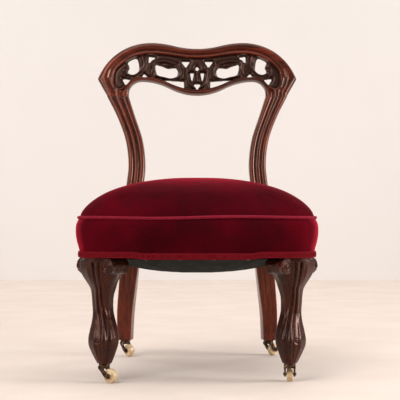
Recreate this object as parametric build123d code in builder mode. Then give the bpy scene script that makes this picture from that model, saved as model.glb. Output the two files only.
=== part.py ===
from build123d import *
import os
from math import cos, pi, radians, sin, sqrt, tan

# Heights above the floor
castor_height = 40
capital_top = 258
rail_top = 316
piping_height = 341
seat_crown = 87
crest_joint_height = 642

# Seat plan: front edge, side edges and the edge at the back
seat_front_width = 511
seat_back_width = 384
seat_front_corner_y = -247
seat_front_bow = 22
seat_corner_radius = 58
seat_back_y = 214
seat_middle_y = -27

# Clearances
wood_gap = 0.2
cloth_gap = 0.3
stile_seat_gap = 2.0
running_gap = 0.05
swivel_face_gap = 0.3
wheel_bore_gap = 0.1

# Seat rails
rail_thickness = 24
apron_drop = 3
apron_lip = 10
apron_flat_half = 106
apron_ogee = 30
tenon_length = 18
tenon_thickness = 10
tenon_shoulder = 8

# Front legs
leg_corner_inset = 59.7
leg_x = seat_front_width / 2 - leg_corner_inset
leg_y = -206
leg_block_inner_x = leg_x - 25.5
leg_block_back_y = -178
leg_neck_width = 45
leg_bulge_width = 65
leg_foot_width = 31
leg_toe_in = 4.1
leg_toe_back = 2
capital_width = 109
capital_depth = 46
capital_turn = 45
capital_plate = 8
volute_radius = 15.5

# Back uprights
stile_foot_x = 177
stile_foot_y = 236
stile_foot_width = 33
stile_seat_x = 157
stile_seat_y = 192
stile_seat_width = 44
stile_seat_depth = 36
stile_waist_x = 147.5
stile_waist_width = 41.5
stile_waist_height = 472
stile_top_x = 196.5
stile_top_width = 54
stile_top_depth = 26
stile_reed = 4.5
stile_groove = 2.0
back_rake = 10

# Crest rail, measured up its own raked face from the joint with the uprights
crest_crown_x = 116
crest_crown_rise = 136
crest_dip_rise = 120.5
crest_tip_x = 247
crest_tip_rise = 42
crest_moulding = 30
crest_dip_moulding = 25
crest_arch_rise = 38
crest_arch_radius = 32
crest_centre_rise = 2
crest_lower_band = 10
crest_fret_back = 4
crest_fret_front = 16
crest_band_front = 21.5
crest_bead = 11
crest_strand_width = 7
crest_strand_rise = 4

# Castors
wheel_radius = 15
wheel_width = 14
wheel_edge = 2
pivot_bottom = 29
castor_trail = 17
fork_width = 24
fork_side_gap = 0.8
fork_top = 37.2
pivot_radius = 3.5
stem_radius = 4
stem_length = 30
plate_radius = 12.5
axle_radius = 2
axle_head_radius = 3.2
axle_head = 1.6
front_left_trail_angle = -35
front_right_trail_angle = 85
back_left_trail_angle = -55
back_right_trail_angle = 50

# Upholstery
border_thickness = 6
border_bulge = 5
border_tuck = 4
piping_radius = 3
piping_proud = 1.1
gimp_height = 14
gimp_thickness = 2
cover_thickness = 12
hessian_rise = 56
spring_wire = 3
spring_turns = 4
spring_sides = 10
spring_top_radius = 34
spring_waist_radius = 23
webbing_width = 44
webbing_thickness = 1.6
webbing_sag = 14
webbing_under = 11
webbing_spacing_x = 80
webbing_spacing_y = 84
hessian_thickness = 1.2
bottom_cloth_thickness = 1.2
bottom_cloth_sag = 29
tack_radius = 2.5
tack_height = 1.2
dowel_radius = 4
dowel_length = 30
screw_radius = 2
screw_head_radius = 4
screw_length = 30

os.makedirs("parts", exist_ok=True)


def save(block, name):
    block.part.label = name
    export_step(block.part, "parts/" + name + ".step")


def eight_sided(place, turn, radius, length, mode=Mode.ADD):
    """Bar with eight flats, for the hidden dowels, screws, stems and tacks."""
    with BuildSketch(Plane(Location(place, turn)).offset(-length / 2)) as outline:
        RegularPolygon(radius, 8)
    extrude(outline.sketch, amount=length, mode=mode)


# Uprights and back legs
rake_slope = tan(radians(back_rake))
leg_reed = 0.5
seat_level = (capital_top + piping_height) / 2
waist_y = stile_seat_y + 14
top_y = waist_y + rake_slope * (crest_joint_height - stile_waist_height)
stile_stations = [
    (castor_height, stile_foot_x, stile_foot_y, stile_foot_width, stile_foot_width, leg_reed, 12),
    (castor_height + 62, stile_foot_x - 2, stile_foot_y - 21, stile_foot_width + 4, 36, leg_reed, 11),
    (castor_height + 132, stile_foot_x - 8.5, stile_foot_y - 36, stile_foot_width + 8, 38, leg_reed, 7),
    (capital_top - 8, stile_seat_x + 4, stile_seat_y + 1, stile_seat_width, 38, leg_reed, 2),
    (seat_level + 32, stile_seat_x - 1, stile_seat_y, stile_seat_width, stile_seat_depth - 2, 1.5, 0),
    (seat_level + 105, stile_seat_x - 4, stile_seat_y + 5, stile_seat_width - 1, 32, stile_reed, 0),
    (stile_waist_height, stile_waist_x, waist_y, stile_waist_width, 30, stile_reed, 0),
    (stile_waist_height + 62, stile_waist_x + 8, waist_y + 62 * rake_slope, stile_waist_width + 0.5, 29,
     stile_reed, 0),
    (crest_joint_height - 48, stile_top_x - 20, top_y - 48 * rake_slope, stile_top_width - 9, 27.5,
     stile_reed, 0),
    (crest_joint_height, stile_top_x, top_y, stile_top_width, stile_top_depth, stile_reed, 0),
]


def stile_section(station):
    height, across, back, width, depth, reed, turn = station
    groove = stile_groove * reed / stile_reed
    front = -depth / 2 + reed
    with BuildSketch(Plane((across, back, height)).rotated((0, 0, turn))) as section:
        with BuildLine():
            Polyline((-width / 2, front), (-width / 2, depth / 2), (width / 2, depth / 2), (width / 2, front))
            SagittaArc((width / 2, front), (0, front - reed + groove), -reed)
            SagittaArc((0, front - reed + groove), (-width / 2, front), -reed)
        make_face()
    return section.sketch


# The seat's plan, drawn about the middle of the seat
notch_x = stile_seat_x - stile_seat_width / 2 - stile_seat_gap - 1
notch_y = stile_seat_y - stile_seat_depth / 2 - stile_seat_gap - 1
piping_tuck = piping_radius + 0.4
rail_inset = piping_tuck + border_thickness + 0.4
side_slope = (seat_back_width - seat_front_width) / 2 / (notch_y - seat_front_corner_y)


def side_edge_x(along, grow=0.0):
    return seat_front_width / 2 + grow + side_slope * (along - seat_front_corner_y)


def front_edge_y(across, grow=0.0):
    return seat_front_corner_y - grow - seat_front_bow * (1 - (across / (seat_front_width / 2 + grow)) ** 2)


def seat_plan(height, grow=0.0, shrink=1.0, fade=0.0):
    """Plan of the seat; the notch round each upright closes as fade goes from nought to one."""
    front_half = seat_front_width / 2 + grow
    back_half = seat_back_width / 2 + grow
    corner_y = seat_front_corner_y - grow - seat_middle_y
    notch = notch_y - seat_middle_y
    back_y = seat_back_y + grow - seat_middle_y
    close = 0.5 * min(fade, 0.98)
    inner_x = notch_x + close * (back_half - notch_x)
    inner_y = notch + close * (back_y - notch)
    with BuildSketch(Plane((0, seat_middle_y, height))) as plan:
        with BuildLine():
            ThreePointArc((-front_half, corner_y), (0, corner_y - seat_front_bow), (front_half, corner_y))
            Polyline(
                (front_half, corner_y),
                (back_half, notch),
                (inner_x, inner_y),
                (notch_x, back_y),
                (-notch_x, back_y),
                (-inner_x, inner_y),
                (-back_half, notch),
                (-front_half, corner_y),
            )
        make_face()
        fillet(plan.vertices().sort_by(Axis.Y)[:2], seat_corner_radius + grow)
        scale(by=shrink)
    return plan.sketch


def padding_plan(height, inset, shrink=1.0):
    """Straight-sided plan that lies inside the seat plan at the same inset."""
    cut = 1.15 * seat_corner_radius
    corner_x = seat_front_width / 2 - inset - cut
    corner_y = front_edge_y(corner_x, -inset) - seat_middle_y
    side_y = seat_front_corner_y + inset + cut
    back_x = side_edge_x(notch_y, -inset)
    back_y = seat_back_y - inset - seat_middle_y
    notch = notch_y - seat_middle_y
    right = [
        (corner_x, corner_y),
        (side_edge_x(side_y, -inset), side_y - seat_middle_y),
        (back_x, notch),
        (notch_x, notch),
        (notch_x, back_y),
    ]
    left = [(-across, along) for across, along in reversed(right)]
    with BuildSketch(Plane((0, seat_middle_y, height))) as plan:
        with BuildLine():
            Polyline(*right, *left, close=True)
        make_face()
        scale(by=shrink)
    return plan.sketch


# Side rails run from the front leg blocks to the uprights
side_rail_front_y = leg_block_back_y
side_rail_back_y = notch_y + stile_seat_gap
back_rail_y = seat_back_y - rail_inset - rail_thickness / 2
back_rail_end = notch_x + stile_seat_gap
front_rail_end = leg_block_inner_x
front_rail_y = front_edge_y(leg_block_inner_x, -rail_inset) + rail_thickness / 2
rail_middle = (capital_top + rail_top) / 2
tenon_height = rail_top - capital_top - 2 * tenon_shoulder


def side_rail_x(along):
    return side_edge_x(along, -rail_inset) - rail_thickness / 2


def side_bar(start, finish, thickness, low, high):
    half = thickness / 2
    with BuildSketch(Plane.XY.offset(low)) as bar:
        with BuildLine():
            Polyline(
                (side_rail_x(start) - half, start),
                (side_rail_x(start) + half, start),
                (side_rail_x(finish) + half, finish),
                (side_rail_x(finish) - half, finish),
                close=True,
            )
        make_face()
    extrude(bar.sketch, amount=high - low)


def side_tenons(grow):
    low = capital_top + tenon_shoulder - grow
    high = rail_top - tenon_shoulder + grow
    thick = tenon_thickness + 2 * grow
    side_bar(side_rail_front_y - tenon_length - grow, side_rail_front_y + 2, thick, low, high)
    side_bar(side_rail_back_y - 2, side_rail_back_y + tenon_length + grow, thick, low, high)


def cross_tenon(end, along, grow):
    with Locations((end + tenon_length / 2 - 1, along, rail_middle)):
        Box(tenon_length + 2 + 2 * grow, tenon_thickness + 2 * grow, tenon_height + 2 * grow)


with BuildPart() as side_tenon_room:
    side_tenons(wood_gap)

with BuildPart() as back_tenon_room:
    cross_tenon(back_rail_end, back_rail_y, wood_gap)

with BuildPart() as front_tenon_room:
    cross_tenon(front_rail_end, front_rail_y, wood_gap)

dowel_inner_x = stile_top_x - stile_top_width / 4
dowel_outer_x = stile_top_x + stile_top_width / 10
crest_dowel_places = [
    (across, top_y, crest_joint_height)
    for across in (-dowel_outer_x, -dowel_inner_x, dowel_inner_x, dowel_outer_x)
]

with BuildPart() as crest_dowel_room:
    for place in crest_dowel_places:
        eight_sided(place, (0, 0, 0), dowel_radius + wood_gap, dowel_length + 1)

with BuildPart() as crest_dowels:
    for place in crest_dowel_places:
        eight_sided(place, (0, 0, 0), dowel_radius, dowel_length)
save(crest_dowels, "crest_dowels")

with BuildPart() as back_stile_right:
    loft([stile_section(station) for station in stile_stations])
    add(side_tenon_room.part, mode=Mode.SUBTRACT)
    add(back_tenon_room.part, mode=Mode.SUBTRACT)
    add(crest_dowel_room.part, mode=Mode.SUBTRACT)
    stem_middle = (stile_foot_x, stile_foot_y, castor_height + stem_length / 2)
    eight_sided(stem_middle, (0, 0, 0), stem_radius + wood_gap, stem_length + 1, mode=Mode.SUBTRACT)
save(back_stile_right, "back_stile_right")

with BuildPart() as back_stile_left:
    mirror(back_stile_right.part, about=Plane.YZ)
save(back_stile_left, "back_stile_left")

# Front legs: a ridge runs down the front, the back is flat, and the scrolled capital faces the corner
leg_body_top = capital_top - capital_plate
leg_rise = leg_body_top - castor_height
leg_stations = [
    (0.0, leg_foot_width, 30, -leg_toe_in, -leg_toe_back),
    (0.055, leg_foot_width + 11, 39, -3.3, -3),
    (0.115, leg_bulge_width - 12.5, 49, -2.5, -4),
    (0.175, leg_bulge_width - 3, 58, -2.1, -5),
    (0.235, leg_bulge_width, 60, -2.5, -4),
    (0.32, leg_bulge_width - 5, 54, -2.8, -1),
    (0.41, leg_neck_width + 6, 46, -2.3, 4),
    (0.49, leg_neck_width, 42, -0.8, 8),
    (0.58, leg_neck_width, 44, 0.4, 9),
    (0.67, leg_neck_width + 3, 50, 0.6, 7),
    (0.76, leg_neck_width + 15, 60, 0.3, 4),
    (0.86, leg_neck_width + 29, 72, 0, 1),
    (1.0, leg_neck_width + 31, 78, 0, 0),
]


def leg_section(station):
    share, width, depth, across, back = station
    with BuildSketch(Plane((leg_x + across, leg_y + back, castor_height + share * leg_rise))) as section:
        with BuildLine():
            Polyline(
                (0, -depth / 2),
                (0.30 * width, -0.33 * depth),
                (width / 2, -0.02 * depth),
                (0.36 * width, 0.42 * depth),
                (0.16 * width, depth / 2),
                (-0.16 * width, depth / 2),
                (-0.36 * width, 0.42 * depth),
                (-width / 2, -0.02 * depth),
                (-0.30 * width, -0.33 * depth),
                close=True,
            )
        make_face()
    return section.sketch


front_castor_x = leg_x - leg_toe_in
front_castor_y = leg_y - leg_toe_back
volute_x = capital_width / 2 - volute_radius
volute_z = capital_top - volute_radius + 1
capital_facing = (sin(radians(capital_turn)), -cos(radians(capital_turn)), 0)
capital_across = (cos(radians(capital_turn)), sin(radians(capital_turn)), 0)
capital_back = (
    leg_x - capital_facing[0] * capital_depth / 2,
    leg_y - capital_facing[1] * capital_depth / 2,
    0,
)

with BuildPart() as leg_block:
    extrude(seat_plan(leg_body_top, -rail_inset), amount=rail_top - leg_body_top)
    with Locations((leg_block_inner_x + 100, leg_block_back_y - 100, rail_middle)):
        Box(200, 200, 200, mode=Mode.INTERSECT)

with BuildPart() as front_leg_right:
    loft([leg_section(station) for station in leg_stations])
    with BuildSketch(Plane(capital_back, x_dir=capital_across, z_dir=capital_facing)):
        with Locations((-volute_x, volute_z), (volute_x, volute_z)):
            Circle(volute_radius)
        with Locations((0, capital_top - capital_plate / 2)):
            Rectangle(2 * volute_x, capital_plate)
    extrude(amount=capital_depth)
    with Locations((leg_x, leg_y, capital_top + 20)):
        Box(2 * capital_width, 2 * capital_width, 40, mode=Mode.SUBTRACT)
    add(leg_block.part)
    add(side_tenon_room.part, mode=Mode.SUBTRACT)
    add(front_tenon_room.part, mode=Mode.SUBTRACT)
    stem_middle = (front_castor_x, front_castor_y, castor_height + stem_length / 2)
    eight_sided(stem_middle, (0, 0, 0), stem_radius + wood_gap, stem_length + 1, mode=Mode.SUBTRACT)
save(front_leg_right, "front_leg_right")

with BuildPart() as front_leg_left:
    mirror(front_leg_right.part, about=Plane.YZ)
save(front_leg_left, "front_leg_left")

# Seat rails, corner braces and their screws
brace_low = capital_top + 14
brace_high = rail_top - 10
brace_middle = (brace_low + brace_high) / 2
brace_width = 30
brace_reach = 84
front_inner_y = front_edge_y(front_rail_end, -rail_inset) + rail_thickness + wood_gap
back_inner_y = back_rail_y - rail_thickness / 2 - wood_gap
front_brace_y = leg_block_back_y + brace_reach - brace_width / 2
back_brace_y = side_rail_back_y - brace_reach + brace_width / 2
front_brace_x = front_rail_end - brace_reach + brace_width / 2
back_brace_x = back_rail_end - brace_reach + brace_width / 2


def side_inner_x(along):
    return side_rail_x(along) - rail_thickness / 2 - wood_gap


def brace(across, along, side):
    half = brace_width / 2
    far = side + half if side < along else side - half
    near = side - half if side < along else side + half
    with BuildSketch(Plane.XY.offset(brace_low)) as outline:
        with BuildLine():
            Polyline(
                (across - half, along),
                (across + half, along),
                (side_inner_x(far), far),
                (side_inner_x(near), near),
                close=True,
            )
        make_face()
    extrude(outline.sketch, amount=brace_high - brace_low)


def screw_set(shank, head, extra):
    """Screws of the two right-hand braces, with room round them when extra is not nought."""
    sink = 14
    length = screw_length + extra
    head_length = 2 + 20 * extra
    head_sink = sink + head_length / 2
    shank_sink = sink - screw_length / 2
    for across, along, toward in [(front_brace_x, front_inner_y, 1), (back_brace_x, back_inner_y, -1)]:
        eight_sided((across, along + toward * shank_sink, brace_middle), (90, 0, 0), shank, length)
        eight_sided((across, along + toward * head_sink, brace_middle), (90, 0, 0), head, head_length)
    for along in (front_brace_y, back_brace_y):
        inner = side_inner_x(along)
        eight_sided((inner - shank_sink, along, brace_middle), (0, 90, 0), shank, length)
        eight_sided((inner - head_sink, along, brace_middle), (0, 90, 0), head, head_length)


with BuildPart() as screw_room:
    screw_set(screw_radius + running_gap, screw_head_radius + wood_gap, 1)
    mirror(about=Plane.YZ)

with BuildPart() as brace_screws:
    screw_set(screw_radius, screw_head_radius, 0)
    mirror(about=Plane.YZ)
save(brace_screws, "brace_screws")

with BuildPart() as front_brace_right:
    brace(front_brace_x, front_inner_y, front_brace_y)
    add(screw_room.part, mode=Mode.SUBTRACT)
save(front_brace_right, "front_brace_right")

with BuildPart() as front_brace_left:
    mirror(front_brace_right.part, about=Plane.YZ)
save(front_brace_left, "front_brace_left")

with BuildPart() as back_brace_right:
    brace(back_brace_x, back_inner_y, back_brace_y)
    add(screw_room.part, mode=Mode.SUBTRACT)
save(back_brace_right, "back_brace_right")

with BuildPart() as back_brace_left:
    mirror(back_brace_right.part, about=Plane.YZ)
save(back_brace_left, "back_brace_left")

with BuildPart() as side_rail_right:
    side_bar(side_rail_front_y + wood_gap, side_rail_back_y, rail_thickness, capital_top, rail_top)
    side_tenons(0)
    add(screw_room.part, mode=Mode.SUBTRACT)
save(side_rail_right, "side_rail_right")

with BuildPart() as side_rail_left:
    mirror(side_rail_right.part, about=Plane.YZ)
save(side_rail_left, "side_rail_left")

with BuildPart() as rear_seat_rail:
    with Locations((0, back_rail_y, rail_middle)):
        Box(2 * back_rail_end, rail_thickness, rail_top - capital_top)
    cross_tenon(back_rail_end, back_rail_y, 0)
    mirror(about=Plane.YZ)
    add(screw_room.part, mode=Mode.SUBTRACT)
save(rear_seat_rail, "rear_seat_rail")


def apron_line(low):
    """Right half of the seat's lower edge, seen from the front: level over the leg, lower between."""
    middle = apron_flat_half + apron_ogee / 2
    outer = apron_flat_half + apron_ogee
    Line((0, low - apron_drop), (apron_flat_half, low - apron_drop))
    TangentArc((apron_flat_half, low - apron_drop), (middle, low - apron_drop / 2), tangent=(1, 0))
    TangentArc((outer, low), (middle, low - apron_drop / 2), tangent=(-1, 0))
    Line((outer, low), (seat_front_width, low))


with BuildPart() as below_apron:
    with BuildSketch(Plane.XZ):
        with BuildLine():
            apron_line(capital_top)
            Polyline((seat_front_width, capital_top), (seat_front_width, castor_height), (0, castor_height))
            mirror(about=Plane.YZ)
        make_face()
    extrude(amount=seat_front_width, both=True)

with BuildPart() as gimp_strip:
    with BuildSketch(Plane.XZ):
        with BuildLine():
            apron_line(capital_top)
            apron_line(capital_top + gimp_height)
            Line((seat_front_width, capital_top), (seat_front_width, capital_top + gimp_height))
            mirror(about=Plane.YZ)
        make_face()
    extrude(amount=seat_front_width, both=True)


def front_bar(thickness, low):
    end = front_rail_end - wood_gap
    corner = front_edge_y(end, -rail_inset)
    middle = front_edge_y(0, -rail_inset)
    with BuildSketch(Plane.XY.offset(low)) as bar:
        with BuildLine():
            ThreePointArc((-end, corner), (0, middle), (end, corner))
            Line((end, corner), (end, corner + thickness))
            ThreePointArc((end, corner + thickness), (0, middle + thickness), (-end, corner + thickness))
            Line((-end, corner + thickness), (-end, corner))
        make_face()
    extrude(bar.sketch, amount=rail_top - low)


with BuildPart() as front_seat_rail:
    front_bar(apron_lip, capital_top - apron_drop)
    add(below_apron.part, mode=Mode.SUBTRACT)
    front_bar(rail_thickness, capital_top)
    cross_tenon(front_rail_end, front_rail_y, 0)
    mirror(about=Plane.YZ)
    add(screw_room.part, mode=Mode.SUBTRACT)
save(front_seat_rail, "front_seat_rail")

# Crest rail, pierced and carved, drawn on the raked plane of its back face
crest_plane = Plane(
    origin=(0, top_y + stile_top_depth / 2, crest_joint_height),
    x_dir=(1, 0, 0),
    z_dir=(0, -cos(radians(back_rake)), sin(radians(back_rake))),
)
crest_thickness = stile_top_depth * cos(radians(back_rake))
crest_inner_x = stile_top_x - stile_top_width / 2
crest_outer_x = stile_top_x + stile_top_width / 2
below_joint = 8
arch_x = crest_inner_x - crest_arch_radius
shoulder_drop = crest_crown_rise - crest_tip_rise
shoulder_reach = crest_tip_x - crest_crown_x
shoulder_radius = (shoulder_reach**2 + shoulder_drop**2) / (2 * shoulder_drop)


def ogee(low_point, high_point):
    """Two equal arcs, level at both ends."""
    middle = ((low_point[0] + high_point[0]) / 2, (low_point[1] + high_point[1]) / 2)
    lean = 1 if high_point[0] > low_point[0] else -1
    TangentArc(low_point, middle, tangent=(lean, 0))
    TangentArc(high_point, middle, tangent=(-lean, 0))


with BuildSketch(crest_plane) as crest_face:
    with BuildLine():
        ogee((0, crest_dip_rise), (crest_crown_x, crest_crown_rise))
        TangentArc((crest_crown_x, crest_crown_rise), (crest_tip_x, crest_tip_rise), tangent=(1, 0))
        Polyline(
            (crest_tip_x, crest_tip_rise),
            (crest_outer_x, 0),
            (crest_outer_x - 0.45 * below_joint, -below_joint),
            (crest_inner_x - 0.2 * below_joint, -below_joint),
            (crest_inner_x, crest_arch_rise - crest_arch_radius),
        )
        arch_end = (crest_inner_x, crest_arch_rise - crest_arch_radius)
        TangentArc((arch_x, crest_arch_rise), arch_end, tangent=(1, 0))
        ogee((0, crest_centre_rise), (arch_x, crest_arch_rise))
        mirror(about=Plane.YZ)
    make_face()

window_radius = shoulder_radius - crest_moulding
window_end_angle = radians(24)
window_end = (
    crest_crown_x + window_radius * cos(window_end_angle),
    crest_crown_rise - shoulder_radius + window_radius * sin(window_end_angle),
)
window_corner = (crest_inner_x + 24, 17)
band_radius = crest_arch_radius + crest_lower_band
band_start_rise = window_corner[1] - (crest_arch_rise - crest_arch_radius)
band_start = (arch_x + sqrt(band_radius**2 - band_start_rise**2), window_corner[1])
band_crown = (arch_x, crest_arch_rise + crest_lower_band)

with BuildSketch(crest_plane) as crest_window:
    with BuildLine():
        ogee((0, crest_dip_rise - crest_dip_moulding), (crest_crown_x, crest_crown_rise - crest_moulding))
        TangentArc((crest_crown_x, crest_crown_rise - crest_moulding), window_end, tangent=(1, 0))
        Polyline(window_end, window_corner, band_start)
        TangentArc(band_crown, band_start, tangent=(1, 0))
        ogee((0, crest_centre_rise + crest_lower_band + 2), band_crown)
        mirror(about=Plane.YZ)
    make_face()

# Piercings of the right half: rounded openings first, then the small three-sided ones
kidney_holes = [
    [(148, 95), (166, 91), (169, 80), (167, 66), (155, 62), (145, 74)],
    [(97, 75), (85, 79), (65, 72), (51, 67), (52, 55), (64, 51), (80, 56), (95, 57)],
]
wedge_holes = [
    [(120, 101), (106, 99), (120, 87)],
    [(137, 50), (121, 50), (128, 59)],
    [(185, 43), (168, 41), (178, 30)],
    [(84, 39), (34, 36), (34, 20)],
    [(38, 88), (20, 88), (28, 75)],
    [(16.5, 58), (9.5, 58), (13, 40)],
]
centre_holes = [
    [(0, 66), (3.5, 70.5), (0, 75), (-3.5, 70.5)],
    [(0, 18), (7, 29), (-7, 29)],
]

with BuildSketch(crest_plane) as crest_piercing:
    for points in kidney_holes:
        with BuildLine():
            Spline(*points, periodic=True)
        make_face()
    for points in wedge_holes:
        with BuildLine():
            Polyline(*points, close=True)
        make_face()
    mirror(about=Plane.YZ)
    for points in centre_holes:
        with BuildLine():
            Polyline(*points, close=True)
        make_face()

with BuildSketch(crest_plane.offset(crest_fret_back)) as crest_fret:
    add(crest_window.sketch_local)
    add(crest_piercing.sketch_local, mode=Mode.SUBTRACT)

with BuildSketch(crest_plane.offset(crest_fret_front - 1)) as crest_strands:
    with BuildLine():
        ThreePointArc((138, 103), (133, 79), (149, 57))
        ThreePointArc((149, 57), (162, 52), (176, 57))
    trace(line_width=crest_strand_width)
    with BuildLine():
        ThreePointArc((106, 82), (74, 87), (46, 75))
        ThreePointArc((46, 75), (41, 60), (48, 46))
        ThreePointArc((48, 46), (72, 43), (100, 50))
    trace(line_width=crest_strand_width)
    with BuildLine():
        ThreePointArc((112, 90), (106, 68), (108, 48))
    trace(line_width=crest_strand_width)
    with BuildLine():
        ThreePointArc((25, 66), (22, 36), (9, 21))
    trace(line_width=crest_strand_width)
    mirror(about=Plane.YZ)
    with BuildLine():
        Line((0, 34), (0, 62))
    trace(line_width=crest_strand_width)
    add(crest_piercing.sketch_local, mode=Mode.SUBTRACT)
    add(crest_window.sketch_local, mode=Mode.INTERSECT)

with BuildSketch(crest_plane) as crest_band:
    add(crest_face.sketch_local)
    add(crest_window.sketch_local, mode=Mode.SUBTRACT)

with BuildSketch(crest_plane) as crest_edge_bead:
    add(crest_face.sketch_local)
    offset(crest_face.sketch_local, amount=-crest_bead, mode=Mode.SUBTRACT)
    add(crest_window.sketch_local, mode=Mode.SUBTRACT)

with BuildPart() as crest_rail:
    extrude(crest_band.sketch, amount=crest_band_front)
    extrude(crest_edge_bead.sketch, amount=crest_thickness)
    extrude(crest_fret.sketch, amount=crest_fret_front - crest_fret_back)
    extrude(crest_strands.sketch, amount=crest_strand_rise + 1)
    split(bisect_by=Plane.XY.offset(crest_joint_height), keep=Keep.TOP)
    add(crest_dowel_room.part, mode=Mode.SUBTRACT)
save(crest_rail, "crest_rail")

# Castors: a plate screwed into the leg, a fork that swivels on its pin, an axle and a wheel
plate_bottom = fork_top + swivel_face_gap
crown_half = plate_radius - 1
wheel_room = wheel_radius + 1.5
cheek_boss = 6

with BuildPart() as plate_shape:
    with BuildSketch(Plane.XZ):
        with BuildLine():
            Polyline(
                (0, pivot_bottom),
                (pivot_radius, pivot_bottom),
                (pivot_radius, plate_bottom),
                (plate_radius, plate_bottom),
                (plate_radius, castor_height),
                (0, castor_height),
                close=True,
            )
        make_face()
    revolve(axis=Axis.Z)
    eight_sided((0, 0, castor_height + stem_length / 2 - 0.5), (0, 0, 0), stem_radius, stem_length + 1)

with BuildPart() as fork_shape:
    with BuildSketch(Plane.XZ):
        with BuildLine():
            Polyline(
                (-crown_half, fork_top),
                (crown_half, fork_top),
                (castor_trail + cheek_boss, wheel_radius + 2),
                (castor_trail + cheek_boss - 3, wheel_radius - 4),
                (castor_trail - 2, wheel_radius - cheek_boss),
                (castor_trail - cheek_boss - 2, wheel_radius - 2),
                (-crown_half + 3, fork_top - 10),
                (-crown_half, fork_top - 6),
                close=True,
            )
        make_face()
    extrude(amount=fork_width / 2, both=True)
    with BuildSketch(Plane.XZ):
        with Locations((castor_trail, wheel_radius)):
            RegularPolygon(wheel_room, 16, major_radius=False)
    extrude(amount=wheel_width / 2 + fork_side_gap, both=True, mode=Mode.SUBTRACT)
    with Locations((0, 0, fork_top)):
        Cylinder(pivot_radius + running_gap, 2 * (fork_top - pivot_bottom + 1), mode=Mode.SUBTRACT)
    axle_hole = (axle_radius + running_gap) / cos(pi / 8)
    eight_sided((castor_trail, 0, wheel_radius), (90, 0, 0), axle_hole, fork_width + 4, mode=Mode.SUBTRACT)

with BuildPart() as axle_shape:
    with Locations(Location((castor_trail, 0, wheel_radius), (90, 0, 0))):
        Cylinder(axle_radius, fork_width + 1)
    for side in (-1, 1):
        middle = side * (fork_width / 2 + running_gap + axle_head / 2)
        eight_sided((castor_trail, middle, wheel_radius), (90, 0, 0), axle_head_radius, axle_head)

with BuildPart() as wheel_shape:
    with BuildSketch(Plane.XY):
        with BuildLine():
            Polyline(
                (castor_trail + axle_radius + wheel_bore_gap, -wheel_width / 2),
                (castor_trail + wheel_radius - wheel_edge, -wheel_width / 2),
                (castor_trail + wheel_radius, -wheel_width / 2 + wheel_edge),
                (castor_trail + wheel_radius, wheel_width / 2 - wheel_edge),
                (castor_trail + wheel_radius - wheel_edge, wheel_width / 2),
                (castor_trail + axle_radius + wheel_bore_gap, wheel_width / 2),
                close=True,
            )
        make_face()
    revolve(axis=Axis((castor_trail, 0, 0), (0, 1, 0)))

castor_places = {
    "front_left": (-front_castor_x, front_castor_y, front_left_trail_angle),
    "front_right": (front_castor_x, front_castor_y, front_right_trail_angle),
    "back_left": (-stile_foot_x, stile_foot_y, back_left_trail_angle),
    "back_right": (stile_foot_x, stile_foot_y, back_right_trail_angle),
}
for corner, (across, along, angle) in castor_places.items():
    with BuildPart() as castor_plate:
        with Locations((across, along, 0)):
            add(plate_shape.part)
    save(castor_plate, "castor_plate_" + corner)

    with BuildPart() as castor_fork:
        with Locations(Location((across, along, 0), (0, 0, angle))):
            add(fork_shape.part)
    save(castor_fork, "castor_fork_" + corner)

    with BuildPart() as castor_axle:
        with Locations(Location((across, along, 0), (0, 0, angle))):
            add(axle_shape.part)
    save(castor_axle, "castor_axle_" + corner)

    with BuildPart() as castor_wheel:
        with Locations(Location((across, along, wheel_radius), (0, 0, angle))):
            add(wheel_shape.part)
    save(castor_wheel, "castor_wheel_" + corner)

# Upholstery, from the webbing up
web_top = capital_top - cloth_gap
web_half_x = side_inner_x(seat_middle_y)
web_half_y = (back_inner_y - front_inner_y) / 2
web_middle_y = (back_inner_y + front_inner_y) / 2
web_grip = rail_thickness - 6


def web_drop(across, along):
    return (1 - (across / web_half_x) ** 2) * (1 - ((along - web_middle_y) / web_half_y) ** 2)


def web_strip(plane, half, grip, sag, width):
    """One strip, level on both rails and hanging in an arc between them."""
    low = -webbing_thickness
    with BuildSketch(plane) as strip:
        with BuildLine():
            Line((-half - grip, 0), (-half, 0))
            ThreePointArc((-half, 0), (0, -sag), (half, 0))
            Polyline((half, 0), (half + grip, 0), (half + grip, low), (half, low))
            ThreePointArc((half, low), (0, low - sag), (-half, low))
            Polyline((-half, low), (-half - grip, low), (-half - grip, 0))
        make_face()
    extrude(strip.sketch, amount=width / 2, both=True)


with BuildPart() as webbing_lengthwise:
    for across in (-webbing_spacing_x, 0, webbing_spacing_x):
        plane = Plane((across, web_middle_y, web_top), x_dir=(0, 1, 0), z_dir=(1, 0, 0))
        web_strip(plane, web_half_y, web_grip, webbing_sag * web_drop(across, web_middle_y), webbing_width)
save(webbing_lengthwise, "webbing_lengthwise")

with BuildPart() as webbing_crosswise:
    for along in (-webbing_spacing_y, 0, webbing_spacing_y):
        plane = Plane((0, web_middle_y + along, web_top), x_dir=(1, 0, 0), z_dir=(0, -1, 0))
        half = side_inner_x(web_middle_y + along + webbing_width / 2)
        sag = (webbing_sag + webbing_under) * web_drop(0, web_middle_y + along)
        web_strip(plane, half, web_grip - 6, sag, webbing_width)
save(webbing_crosswise, "webbing_crosswise")

# Springs stand where the webbing crosses and push up the hessian
hessian_base = rail_top + cloth_gap
hessian_top = hessian_base + hessian_rise
hessian_inset = rail_inset + rail_thickness / 2
hessian_flat = 0.68
hessian_shoulder = 0.9


def hessian_tent(grow):
    inset = hessian_inset - grow
    levels = [
        (hessian_base, 1.0),
        (hessian_base + 0.55 * hessian_rise + grow, hessian_shoulder),
        (hessian_top + grow, hessian_flat),
    ]
    loft([padding_plan(height, inset, shrink) for height, shrink in levels], ruled=True)


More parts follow.
